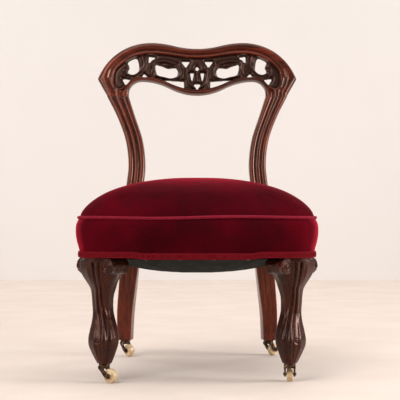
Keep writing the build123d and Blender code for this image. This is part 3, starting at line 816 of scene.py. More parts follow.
def pile_nap() -> Any:
    """Effect: cut pile that is brushed this way and that.

    Returns:
        The effect's group.
    """
    group, tree, given, out = effect(
        "pile_nap",
        {"Vector": NO_TURN, "Dark": BLACK, "Light": WHITE, "Brushing": 7.0},
        {"Color": COLOUR, "Height": VALUE},
    )
    vector = given["Vector"]
    brushed = tree.noise(vector, given["Brushing"], 4.0, 0.6)
    tufts = tree.noise(vector, 420.0, 2.0, 0.6)
    share = tree.calc("ADD", tree.calc("MULTIPLY", brushed, 0.75), tree.calc("MULTIPLY", tufts, 0.3))
    colour = tree.mixed(tree.ranged(share, 0.36, 0.72), given["Dark"], given["Light"])
    tree.put(out, {"Color": colour, "Height": tree.noise(vector, 900.0, 2.0, 0.7)})
    return group


def plain_weave() -> Any:
    """Effect: threads that go over and under each other.

    Returns:
        The effect's group.
    """
    group, tree, given, out = effect(
        "plain_weave",
        {"Vector": NO_TURN, "Threads": 900.0, "Dark": BLACK, "Light": WHITE},
        {"Color": COLOUR, "Height": VALUE},
    )
    vector = given["Vector"]
    wave = {"Vector": vector, "Scale": given["Threads"], "Distortion": 0.4, "Detail": 1.0}
    bands = [tree.add("ShaderNodeTexWave", wave, bands_direction=way).outputs["Fac"] for way in "XY"]
    height = tree.calc("MULTIPLY", *bands)
    slub = tree.ranged(tree.noise(vector, 90.0, 3.0), 0.2, 0.8, 0.5, 1.0)
    share = tree.calc("MULTIPLY", tree.ranged(height, 0.0, 0.8), slub)
    tree.put(out, {"Color": tree.mixed(share, given["Dark"], given["Light"]), "Height": height})
    return group


class Effects:
    """The shared effects, each built once."""

    made: dict[str, Any] = {}

    @classmethod
    def get(cls, maker: Any) -> Any:
        """The effect's group, built when it is first asked for.

        Args:
            maker: The function that builds it.

        Returns:
            The effect's group.
        """
        if maker.__name__ not in cls.made:
            cls.made[maker.__name__] = maker()
        return cls.made[maker.__name__]


def new_material(name: str) -> tuple[bpy.types.Material, ShaderTree, bpy.types.Node]:
    """Starts a material.

    Args:
        name: The material's name.

    Returns:
        The material, its tree and its shader.
    """
    material = bpy.data.materials.new(name)
    material.use_nodes = True
    return material, ShaderTree(material.node_tree), material.node_tree.nodes["Principled BSDF"]


@dataclass(frozen=True)
class WoodFinish:
    """Polished or raw wood."""

    name: str
    dark: Colour
    light: Colour
    run: GrainRun
    low_gloss: float = 0.14
    high_gloss: float = 0.27
    coat: float = 0.08
    wear: float = 0.25
    level: float = 0.5
    shine: Colour = (1.0, 0.52, 0.38, 1.0)
    edge: Colour = (0.19, 0.036, 0.014, 1.0)
    # Colour of the painted shade in the carving's hollows.
    hollow: Colour = (0.0080, 0.0019, 0.0014, 1.0)

    def material(self) -> bpy.types.Material:
        """Builds the wood's material.

        Returns:
            The material.
        """
        material, tree, shader = new_material(self.name)
        inputs = {"Vector": tree.placed(self.run.value), "Dark": self.dark, "Light": self.light}
        grain = tree.grouped(wood_grain, inputs)
        # Painted shade darkens the hollows; the edges are rubbed paler.
        shade = tree.carved(grain["Color"], self.hollow, self.edge, self.wear)
        gloss = tree.gloss(26.0, self.low_gloss, self.high_gloss)
        looks = {
            "Base Color": shade["Color"],
            "Roughness": tree.calc("ADD", gloss["Value"], shade["Polish"]),
            "Normal": tree.bump(grain["Height"], 0.12, 0.0004),
            "Coat Weight": self.coat,
            "Coat Roughness": 0.12,
            "Specular IOR Level": self.level,
            "Specular Tint": self.shine,
        }
        tree.put(shader, looks)
        return material


@dataclass(frozen=True)
class VelvetFinish:
    """Cut-pile velvet, with a painted sheen: its colour is mixed towards the sheen colour at grazing angles.
    """

    name: str
    dark: Colour
    light: Colour
    sheen: Colour
    sheen_weight: float = 0.62
    # Share of the sheen colour painted into the base colour at grazing angles: a painted sheen.
    rim: float = 0.02
    brushing: float = 7.0

    def material(self) -> bpy.types.Material:
        """Builds the velvet's material.

        Returns:
            The material.
        """
        material, tree, shader = new_material(self.name)
        inputs = {"Dark": self.dark, "Light": self.light, "Brushing": self.brushing}
        nap = tree.grouped(pile_nap, {"Vector": tree.placed(), **inputs})
        gloss = tree.gloss(14.0, 0.78, 0.95)
        # Painted sheen: the base colour is pushed towards the sheen colour where the surface turns away from
        # view.
        painted_sheen_facing = tree.add("ShaderNodeLayerWeight", {"Blend": 0.5}).outputs["Facing"]
        rim = tree.ranged(painted_sheen_facing, 0.35, 0.9, 0.0, self.rim)
        looks = {
            "Base Color": tree.mixed(rim, nap["Color"], self.sheen),
            "Roughness": gloss["Value"],
            "Normal": tree.bump(nap["Height"], 0.35, 0.0006),
            "Sheen Weight": self.sheen_weight,
            "Sheen Roughness": 0.2,
            "Sheen Tint": self.sheen,
            "Specular IOR Level": 0.03,
        }
        tree.put(shader, looks)
        return material


@dataclass(frozen=True)
class ThreadFinish:
    """Spun or woven thread: braid, cord, hessian, webbing, cloth."""

    name: str
    dark: Colour
    light: Colour
    threads: float
    sheen: float = 0.3
    rough: float = 0.8
    uneven: float = 0.1

    def material(self) -> bpy.types.Material:
        """Builds the thread's material.

        Returns:
            The material.
        """
        material, tree, shader = new_material(self.name)
        inputs = {"Threads": self.threads, "Dark": self.dark, "Light": self.light}
        weave = tree.grouped(plain_weave, {"Vector": tree.placed(), **inputs})
        gloss = tree.gloss(40.0, self.rough - self.uneven, self.rough + self.uneven)
        looks = {
            "Base Color": weave["Color"],
            "Roughness": gloss["Value"],
            "Normal": tree.bump(weave["Height"], 0.5, 0.0005),
            "Sheen Weight": self.sheen,
            "Sheen Roughness": 0.4,
            "Sheen Tint": self.light,
            "Specular IOR Level": 0.1,
        }
        tree.put(shader, looks)
        return material


@dataclass(frozen=True)
class MetalFinish:
    """Cast, turned or drawn metal with a darker skin in places."""

    name: str
    bright: Colour
    skin: Colour
    low_gloss: float = 0.28
    high_gloss: float = 0.5
    wear: float = 0.6

    def material(self) -> bpy.types.Material:
        """Builds the metal's material.

        Returns:
            The material.
        """
        material, tree, shader = new_material(self.name)
        gloss = tree.gloss(160.0, self.low_gloss, self.high_gloss)
        tarnish = tree.mixed(gloss["Mask"], self.bright, self.skin)
        looks = {
            "Base Color": tree.carved(tarnish, self.skin, self.bright, self.wear)["Color"],
            "Roughness": gloss["Value"],
            "Normal": tree.bump(gloss["Mask"], 0.15, 0.0004),
            "Metallic": 1.0,
        }
        tree.put(shader, looks)
        return material


@dataclass(frozen=True)
class ChinaFinish:
    """Glazed china, crazed and rubbed by the floor."""

    name: str
    clean: Colour
    stained: Colour

    def material(self) -> bpy.types.Material:
        """Builds the china's material.

        Returns:
            The material.
        """
        material, tree, shader = new_material(self.name)
        gloss = tree.gloss(70.0, 0.16, 0.4)
        cells = {"Vector": tree.placed(), "Scale": 260.0}
        cracks = tree.add("ShaderNodeTexVoronoi", cells, feature="DISTANCE_TO_EDGE").outputs["Distance"]
        colour = tree.mixed(gloss["Mask"], self.clean, self.stained)
        looks = {
            "Base Color": tree.mixed(tree.ranged(cracks, 0.0, 0.035, 0.35, 0.0), colour, CRACK),
            "Roughness": gloss["Value"],
            "Coat Weight": 0.4,
            "Coat Roughness": 0.1,
        }
        tree.put(shader, looks)
        return material


@dataclass(frozen=True)
class StageFinish:
    """Plain, faintly clouded floor or wall; the floor has painted shade that darkens it towards the front.
    """

    name: str
    colour: Colour
    other: Colour
    # How dark the painted shade leaves the floor's front, as a share of its colour.
    front: float = 1.0
    cloud: float = 0.8
    front_y: float = -0.4
    back_y: float = 2.8

    def material(self) -> bpy.types.Material:
        """Builds the floor's or wall's material.

        Returns:
            The material.
        """
        material, tree, shader = new_material(self.name)
        cloud = tree.gloss(self.cloud, 0.7, 0.9)
        colour = tree.mixed(cloud["Mask"], self.colour, self.other)
        along = tree.add("ShaderNodeSeparateXYZ", {"Vector": tree.placed()}).outputs["Y"]
        # Painted shade: the colour is darkened towards the front.
        worn = tree.ranged(along, self.front_y, self.back_y, 1.0, 0.0)
        colour = tree.mixed(worn, colour, (self.front, self.front, self.front, 1.0), "MULTIPLY")
        tree.put(shader, {"Base Color": colour, "Roughness": 0.8, "Specular IOR Level": 0.15})
        return material


class Finishes:
    """Every finish of the chair, built once."""

    def __init__(self) -> None:
        """Builds the materials."""
        polish = {"dark": (0.012, 0.0022, 0.0013, 1.0), "light": (0.116, 0.0140, 0.0055, 1.0)}
        aged = {"dark": (0.007, 0.0019, 0.0013, 1.0), "light": (0.044, 0.0070, 0.0036, 1.0)}
        worn = {"low_gloss": 0.22, "high_gloss": 0.34, "level": 0.34}
        self.crest = WoodFinish("polished_crest", run=GrainRun.ACROSS, **polish).material()
        self.upright = WoodFinish("polished_upright", run=GrainRun.UPRIGHT, **polish).material()
        self.leg = WoodFinish("polished_leg", run=GrainRun.UPRIGHT, **worn, **aged).material()
        raw = {"dark": (0.16, 0.075, 0.035, 1.0), "light": (0.36, 0.2, 0.1, 1.0)}
        dull = {"low_gloss": 0.6, "high_gloss": 0.8, "coat": 0.0, "wear": 0.0}
        self.rail = WoodFinish("raw_rail_across", run=GrainRun.ACROSS, **raw, **dull).material()
        self.side_rail = WoodFinish("raw_rail_depth", run=GrainRun.DEPTH, **raw, **dull).material()
        pile = {
            "dark": (0.033, 0.0005, 0.0024, 1.0),
            "light": (0.086, 0.0010, 0.0052, 1.0),
            "sheen": (0.86, 0.03, 0.075, 1.0),
        }
        self.velvet = VelvetFinish("crimson_velvet_dome", **pile).material()
        # The border gets a much stronger painted sheen at its grazing ends than the dome.
        self.border = VelvetFinish("crimson_velvet_border", rim=0.32, sheen_weight=0.85, **pile).material()
        threads = (
            ("crimson_cord", (0.15, 0.006, 0.016, 1.0), (0.50, 0.028, 0.064, 1.0), 520.0, 0.4),
            ("crimson_gimp", (0.11, 0.002, 0.006, 1.0), (0.38, 0.010, 0.021, 1.0), 420.0, 0.4),
            ("black_bottom_cloth", (0.008, 0.009, 0.0085, 1.0), (0.036, 0.042, 0.038, 1.0), 300.0, 0.2),
            ("hessian", (0.16, 0.1, 0.05, 1.0), (0.42, 0.3, 0.17, 1.0), 160.0, 0.1),
            ("jute_webbing", (0.18, 0.12, 0.06, 1.0), (0.46, 0.33, 0.19, 1.0), 130.0, 0.1),
            ("horse_hair", (0.012, 0.008, 0.006, 1.0), (0.06, 0.04, 0.028, 1.0), 500.0, 0.2),
        )
        made = [ThreadFinish(*row).material() for row in threads]
        self.piping, self.gimp, self.bottom_cloth, self.hessian, self.webbing, self.hair = made
        self.china = ChinaFinish("cream_china", (0.68, 0.51, 0.30, 1.0), (0.47, 0.30, 0.14, 1.0)).material()
        brass = ((0.12, 0.066, 0.038, 1.0), (0.014, 0.0095, 0.0075, 1.0))
        self.bronze = MetalFinish("aged_brass", *brass).material()
        self.steel = MetalFinish("dull_steel", (0.36, 0.35, 0.34, 1.0), (0.10, 0.085, 0.075, 1.0)).material()
        boards = ((0.86, 0.733, 0.653, 1.0), (0.91, 0.784, 0.706, 1.0))
        # The floor's front is darkened to 0.79 of its colour by painted shade.
        self.floor = StageFinish("pale_floor", *boards, front=0.79, cloud=4.5).material()
        plaster = ((0.82, 0.783, 0.763, 1.0), (0.835, 0.798, 0.778, 1.0))
        self.wall = StageFinish("pale_wall", *plaster).material()


# The seat's plan


@dataclass
class SeatPlan:
    """Outline of the seat from above: bowed front, rounded corners, notches round the uprights."""

    front_half: float = 255.5
    back_half: float = 192.0
    corner_y: float = -247.0
    bow: float = 22.0
    corner_radius: float = 58.0
    back_y: float = 214.0
    notch_x: float = 132.0
    notch_y: float = 171.0
    middle_y: float = -27.0
    tuck_y: float = 192.0
    tucks: tuple = ((176.0, 192.0), (176.0, 178.0), (142.0, 178.0), (137.0, 209.0))
    front_steps: int = 40
    corner_steps: int = 24

    def right_half(
        self, grow: float = 0.0, fade: float = 0.0, notched: bool = True, tucked: bool = False
    ) -> Array:
        """Right half of the outline, from the middle of the front to the middle of the back.

        Args:
            grow: How far the outline is spread.
            fade: How far the notch has closed.
            notched: Whether the outline goes round the upright.
            tucked: Whether it is drawn in against the upright on all sides.

        Returns:
            The outline's points.
        """
        front, back = self.front_half + grow, self.back_half + grow
        corner, rear = self.corner_y - grow, self.back_y + grow
        radius = self.corner_radius + grow
        arc = (front**2 + self.bow**2) / (2 * self.bow)
        arc_middle = np.array([0.0, corner - self.bow + arc])
        side = np.array([back - front, self.notch_y - corner])
        side /= np.linalg.norm(side)
        inward = np.array([-side[1], side[0]])
        base = np.array([front, corner]) + inward * radius - arc_middle
        lean = base @ side
        root = math.sqrt(lean**2 - (base @ base) + (arc - radius) ** 2)
        middle = arc_middle + base + min(root - lean, -root - lean, key=abs) * side
        touch = arc_middle + (middle - arc_middle) / np.linalg.norm(middle - arc_middle) * arc
        end = math.atan2(touch[1] - arc_middle[1], touch[0])
        angles = np.linspace(-math.pi / 2, end, self.front_steps)
        points = [arc_middle + arc * np.array([math.cos(a), math.sin(a)]) for a in angles]
        start = math.atan2(touch[1] - middle[1], touch[0] - middle[0])
        finish = math.atan2(-inward[1], -inward[0])
        angles = np.linspace(start, finish, self.corner_steps)[1:]
        points += [middle + radius * np.array([math.cos(a), math.sin(a)]) for a in angles]
        points.append(np.array([back, self.notch_y]))
        drift = (back - front) / (self.notch_y - corner)
        tail = (back + drift * (self.tuck_y - self.notch_y), self.tuck_y)
        if not notched:
            ends = [tail]
        elif tucked:
            ends = [tail, *self.tucks, (0.0, rear)]
        else:
            close = 0.5 * min(fade, 0.98)
            x = self.notch_x + close * (back - self.notch_x)
            y = self.notch_y + close * (rear - self.notch_y)
            ends = [(x, y), (self.notch_x, rear), (0.0, rear)]
        return np.array([*points, *ends])

    def whole(self, half: Array, counts: tuple[int, ...]) -> Array:
        """The whole outline, with its points spread evenly along each stretch.

        Args:
            half: The right half of the outline.
            counts: How many steps each of its stretches has.

        Returns:
            The outline's points, always as many.
        """
        bow_end = self.front_steps - 1
        ends = [bow_end, *range(bow_end + self.corner_steps - 1, len(half))]
        stretches = zip([0, *ends[:-1]], ends, counts)
        parts = [respaced(half[start : end + 1], count + 1)[:-1] for start, end, count in stretches]
        right = np.concatenate([*parts, half[-1:]])
        return np.concatenate([right, (right * (-1, 1))[-2:0:-1]])

    def outline(self, grow: float = 0.0, shrink: float = 1.0, fade: float = 0.0) -> Array:
        """The whole outline, with notches round the uprights.

        Args:
            grow: How far the outline is spread.
            shrink: How far it is drawn in about the seat's middle.
            fade: How far the notches have closed.

        Returns:
            The outline's points, always as many.
        """
        whole = self.whole(self.right_half(grow, fade), (44, 26, 56, 18, 14, 26))
        middle = np.array([0.0, self.middle_y])
        return middle + shrink * (whole - middle)

    def tucked(self, grow: float) -> Array:
        """The whole outline, drawn in against the uprights so that no rail shows beside them."""
        return self.whole(self.right_half(grow, tucked=True), (44, 26, 56, 8, 5, 5, 8, 8, 26))

    def seam(self, grow: float) -> Array:
        """The open run from one upright round the front to the other."""
        right = self.right_half(grow, notched=False)
        return np.concatenate([(right * (-1, 1))[::-1], right[1:]])


def lower_edge(across: Array) -> Array:
    """Height of the seat's lower edge, which dips a little between the front legs.

    Args:
        across: Distance from the chair's middle.

    Returns:
        The heights.
    """
    over_legs, drop, dip_half, ease = 258.0, 3.0, 106.0, 30.0
    share = np.clip((np.abs(across) - dip_half) / ease, 0, 1)
    return over_legs - drop * (1 - share * share * (3 - 2 * share))


def at_height(plan: Array, height: float | Array) -> Array:
    """Points of a plan lifted to a height."""
    return np.column_stack([plan, np.broadcast_to(height, len(plan))])


# Show wood


REED_SHARES = np.array([0.0, 0.03, 0.10, 0.24, 0.42, 0.55, 0.63, 0.69, 0.74, 0.82, 0.91, 1.0])
REED_RISES = np.array([0.0, 0.36, 0.72, 0.96, 1.0, 0.86, 0.62, 0.46, 0.62, 0.80, 0.87, 0.89])


def reed_rise(share: Array) -> Array:
    """Section of the moulding that runs up the uprights and round the crest.

    Args:
        share: Place across it, from the outer edge to the inner.

    Returns:
        Height there, from nought to one.
    """
    return np.interp(share, REED_SHARES, REED_RISES)


@dataclass
class CrestRail:
    """Pierced and carved top rail, shaped on its raked face."""

    joint_height: float = 642.0
    back_face_y: float = 248.98
    rake: float = 10.0
    step: float = 1.3
    moulding_base: float = 15.0
    moulding_rise: float = 10.6
    fret_base: float = 5.0
    fret_rise: float = 13.0
    fret_round: float = 8.5
    # How much darker the sunk fretwork is painted, as shade.
    fret_painted_shade: float = 2.6
    fret_limit: float = 22.0
    fret_sink: float = 5.0
    fret_sink_width: float = 2.4
    fret_back: float = 4.0
    strand_cut: tuple = ((3.4, 0.0, 2.6), (-2.6, 5.2, 1.5))
    eye_cut: tuple = ((3.5, 0.0, 0.45), (-2.4, 0.95, 0.25))
    hole_ease: float = 0.6
    hole_bevel: tuple = (2.5, 3.0)
    edge_bevel: tuple = (3.0, 4.0)
    steepness: float = 0.8
    shoulder: tuple = (116.0, -2.28)
    arch: tuple = (137.5, 6.0)
    quirk: tuple = ((195.0, 18.0), (196.8, 11.0), (197.0, 4.0), (196.5, -3.0), (196.5, -18.0))
    kidneys: tuple = (
        ((151, 95), (164, 92), (172, 86), (169, 78), (168, 71))
        + ((171, 64), (168, 58), (159, 56), (150, 61), (146, 73)),
        ((103, 78), (96, 78), (86, 75), (74, 70), (62, 71), (54, 71))
        + ((49, 62), (53, 51), (66, 46), (80, 50), (98, 56)),
    )
    wedges: tuple = (
        ((120, 101), (106, 99), (120, 87)),
        ((138, 47), (123, 46), (132, 56)),
        ((185, 43), (168, 41), (178, 30)),
        ((84, 39), (34, 36), (34, 20)),
        ((38, 88), (20, 88), (28, 75)),
        ((16.5, 58), (9.5, 58), (13, 40)),
    )
    window_end: tuple = (
        ((205, 57), (206.5, 46), (206.5, 36), (205, 27))
        + ((201, 19.5), (195, 16.5), (188, 17.5), (181, 21.5))
    )
    centres: tuple = (
        ((0, 66), (3.5, 70.5), (0, 75), (-3.5, 70.5)),
        ((0, 18), (7, 29), (-7, 29)),
    )
    strands: tuple = (
        ((140, 106), (134, 92), (134, 78), (140, 65), (149, 57), (162, 52), (176, 56)),
        ((106, 83), (90, 87), (74, 86), (58, 81), (46, 75))
        + ((42, 67), (41, 58), (48, 46), (72, 44), (100, 50)),
        ((113, 92), (108, 80), (106, 68), (107, 58), (110, 46)),
        ((26, 72), (25, 60), (22, 38), (16, 26), (6, 19)),
        ((0, 34), (0, 62)),
    )
    eyes: tuple = ((177, 63, 6.5), (103, 62, 6.0), (45, 82, 6.0), (178, 46, 5.0), (24, 78, 4.0))

    def ogee(self, low: tuple[float, float], high: tuple[float, float]) -> Array:
        """Double curve that is level at both ends."""
        share = np.linspace(0, 1, 26)
        rise = np.where(share < 0.5, 2 * share**2, 1 - 2 * (1 - share) ** 2)
        return np.column_stack([low[0] + share * (high[0] - low[0]), low[1] + rise * (high[1] - low[1])])

    def arc(self, middle: tuple[float, float], radius: float, start: float, end: float) -> Array:
        """Part of a circle, by its angles in degrees."""
        angle = np.radians(np.linspace(start, end, 30))
        return np.column_stack([middle[0] + radius * np.cos(angle), middle[1] + radius * np.sin(angle)])

    def top_line(self) -> Array:
        """Upper and outer edge of the right half."""
        shoulder = self.arc(self.shoulder, 138.28, 90.0, 18.68)
        return np.concatenate([self.ogee((0, 120.5), (116, 136)), shoulder, [(223.5, 0), (223.5, -18)]])

    def low_line(self) -> Array:
        """Lower edge of the right half, round its arch."""
        arch = self.arc(self.arch, 32.0, 90.0, 0.0)
        return np.concatenate([self.ogee((0, 2), (137.5, 38)), arch, [(169.5, -18)]])

    def window(self) -> Array:
        """Right half of the sunk field that holds the fretwork."""
        upper = [self.ogee((0, 95.5), (116, 106)), self.arc(self.shoulder, 108.28, 90.0, 36.0)]
        lower = [self.ogee((0, 14), (137.5, 48)), self.arc(self.arch, 42.0, 90.0, 28.0)]
        return np.concatenate([*upper, flowing(self.window_end), np.concatenate(lower)[::-1]])

    def whole(self, half: Array) -> Array:
        """A closed outline from its right half."""
        return np.concatenate([half, (half * (-1, 1))[::-1]])

    def bevelled(self, away: Array, bevel: tuple[float, float]) -> Array:
        """Cut of a rounded bevel with a depth and a width, by the distance from the edge."""
        return bevel[0] * (1 - rounded(away / bevel[1]))

    def holes(self, across: Array, up: Array) -> Array:
        """Distance from places on the rail's face to its piercings.

        Args:
            across: Distance of the places from the chair's middle.
            up: Their height up the raked face.

        Returns:
            The distances, negative inside a piercing.
        """
        outlines = [flowing(points, closed=True) for points in self.kidneys]
        outlines += [np.array(points, float) for points in self.wedges + self.centres]
        nearest = np.full(across.shape, FAR)
        for outline in outlines:
            nearest = np.minimum(nearest, outline_distance(outline, across, up) - self.hole_ease)
        return nearest

    def fretwork(self, across: Array, up: Array, hole: Array, window: Array) -> Array:
        """How far the fretwork's front stands out: rounded bars, ridged strands and scroll eyes.

        Args:
            across: Distance of the places from the chair's middle.
            up: Their height up the raked face.
            hole: Their distance to the piercings.
            window: Their distance to the edge of the sunk field.

        Returns:
            The heights off the rail's back.
        """
        fret = self.fret_base + self.fret_rise * rounded(hole / self.fret_round)
        strand = np.full(across.shape, FAR)
        for points in self.strands:
            strand = np.minimum(strand, line_distance(flowing(points), across, up))
        fret += ridged(strand, self.strand_cut)
        for x, y, radius in self.eyes:
            fret += ridged(np.hypot(across - x, up - y) / radius, self.eye_cut)
        sink = self.fret_sink * hump(window, self.fret_sink_width) * (window < 0)
        return np.minimum(fret, self.fret_limit) - sink

    def build(self) -> Shape:
        """Carves the rail.

        Returns:
            Its shape in the drawing's frame.
        """
        half = np.arange(0.0, 252.0, self.step)
        rise = np.arange(-16.0, 140.0, self.step)
        out = np.arange(-2.0, 29.0, self.step)
        across, up = np.meshgrid(half, rise, indexing="ij")
        top, low = self.top_line(), self.low_line()
        face = outline_distance(self.whole(np.concatenate([top, low[::-1]])), across, up)
        edge = np.minimum(line_distance(top, across, up), line_distance(low, across, up))
        window = outline_distance(self.whole(self.window()), across, up)
        inner = np.minimum(np.maximum(window, 0), line_distance(flowing(self.quirk), across, up))
        moulding = self.moulding_base + self.moulding_rise * reed_rise(edge / np.maximum(edge + inner, TINY))
        hole = self.holes(across, up)
        sunk = fall(window, 0.7)
        front = moulding * (1 - sunk) + self.fretwork(across, up, hole, window) * sunk
        back = self.bevelled(edge, self.edge_bevel) * (1 - sunk)
        back = back + (self.fret_back + self.bevelled(hole, self.hole_bevel)) * sunk
        fields = (np.maximum(face, -hole), front, back)
        plan, front, back = (np.concatenate([field[:0:-1], field])[:, :, None] for field in fields)
        solid = np.maximum(plan, self.steepness * (out - front))
        solid = np.maximum(solid, self.steepness * (back - out))
        shape = softened(surface_net(solid, np.array([-half[-1], rise[0], out[0]]), self.step), 2, 0.45)
        slope = math.radians(self.rake)
        u, v, w = shape.points.T
        y = self.back_face_y + v * math.sin(slope) - w * math.cos(slope)
        z = self.joint_height + v * math.cos(slope) + w * math.sin(slope)
        return sawn(Shape(np.column_stack([u, y, z]), shape.faces), self.joint_height)

    def sunk(self, shape: Shape) -> Array:
        """Which points of the rail lie in its window, from nought to one.

        Args:
            shape: The rail's shape.

        Returns:
            A share for each point.
        """
        slope = math.radians(self.rake)
        across, along, height = shape.points.T
        up = (along - self.back_face_y) * math.sin(slope) + (height - self.joint_height) * math.cos(slope)
        window = outline_distance(self.whole(self.window()), np.abs(across), up)
        return fall(window + 1.0, 1.2)

    def dress(self, finishes: Finishes) -> None:
        """Puts the rail and its dowels in place.

        Args:
            finishes: The chair's finishes.
        """
        shape = self.build()
        # The fretwork in its sunk window is painted darker as shade, on top of the painted shade in the
        # hollows and the paler rubbed edges.
        worn = relief(shape) - self.fret_painted_shade * self.sunk(shape)
        make_piece(
            "carved_crest_rail", shape, finishes.crest, stands_for=("crest_rail",), worn=worn
        )
        dress_node("crest_dowels", finishes.rail)


@dataclass
class BackUpright:
    """Reeded upright that runs on as a plain back leg."""

    rows: int = 190
    corner: float = 4.0
    foot: float = 40.0
    foot_bevel: float = 1.5
    joint_height: float = 642.0
    full_reed: float = 4.5
    moulding_rise: float = 10.6
    plain_rise: float = 2.6

    def stations(self) -> Array:
        """Height, place, width, depth, depth of the reeds and turn in degrees, from the foot up.

        Returns:
            One row for each station.
        """
        slope = math.tan(math.radians(10))
        return np.array(
            [
                (40.0, 177.0, 236.0, 33.0, 33.0, 0.5, 12),
                (102.0, 175.0, 215.0, 37.0, 36.0, 0.5, 11),
                (172.0, 168.5, 200.0, 41.0, 38.0, 0.5, 7),
                (250.0, 161.0, 193.0, 44.0, 38.0, 0.5, 2),
                (331.5, 156.0, 192.0, 44.0, 34.0, 1.5, 0),
                (404.5, 153.0, 197.0, 43.0, 32.0, 4.5, 0),
                (472.0, 147.5, 206.0, 41.5, 30.0, 4.5, 0),
                (534.0, 155.5, 206.0 + 62 * slope, 42.0, 29.0, 4.5, 0),
                (594.0, 176.5, 206.0 + 122 * slope, 45.0, 27.5, 4.5, 0),
                (642.0, 196.5, 206.0 + 170 * slope, 54.0, 26.0, 4.5, 0),
            ]
        )

    def section(self, width: float, depth: float, reed: float) -> Array:
        """Outline of the upright at one height, drawn about its middle.

        Args:
            width: Width there.
            depth: Depth there.
            reed: How far the reeds stand out there.

        Returns:
            The outline's points, always as many.
        """
        turn = np.radians(np.linspace(0, 90, 5))
        half, back = width / 2, depth / 2
        bend = self.corner
        right = np.column_stack([half - bend + bend * np.cos(turn), back - bend + bend * np.sin(turn)])
        left = (right * (-1, 1))[::-1]
        share = np.concatenate([np.linspace(0, 1, 22), np.linspace(1, 0, 22)[1:]])
        across = np.linspace(-half, half, len(share))
        shown = min(reed / self.full_reed, 1.0)
        plain = self.plain_rise * rounded(share / 0.12)
        rise = shown * self.moulding_rise * reed_rise(share) + (1 - shown) * plain
        front = -back + (shown * self.moulding_rise + (1 - shown) * self.plain_rise) - rise
        side = np.linspace(front[-1], back - bend, 5)[1:-1]
        return np.concatenate(
            [
                np.column_stack([across, front]),
                np.column_stack([np.full(3, half), side]),
                right,
                left,
                np.column_stack([np.full(3, -half), side[::-1]]),
            ]
        )

    def build(self) -> Shape:
        """Shapes the right-hand upright.

        Returns:
            Its shape.
        """
        stations = self.stations()
        heights = np.linspace(self.foot + self.foot_bevel, self.joint_height, self.rows)
        heights = np.concatenate([[self.foot], heights])
        places = smooth_curve(stations[:, 0], stations[:, 1:], heights)
        rows = []
        for height, (x, y, width, depth, reed, turn) in zip(heights, places):
            trim = self.foot_bevel if height == self.foot else 0.0
            outline = self.section(width - trim, depth - trim, reed)
            angle = math.radians(turn)
            across = x + outline[:, 0] * math.cos(angle) - outline[:, 1] * math.sin(angle)
            along = y + outline[:, 0] * math.sin(angle) + outline[:, 1] * math.cos(angle)
            rows.append(np.column_stack([across, along, np.full(len(outline), height)]))
        return lofted(np.array(rows), capped=True)

    def dress(self, finishes: Finishes) -> None:
        """Puts both uprights in place."""
        both_sides(self.build(), "reeded_upright", "back_stile", finishes.upright)


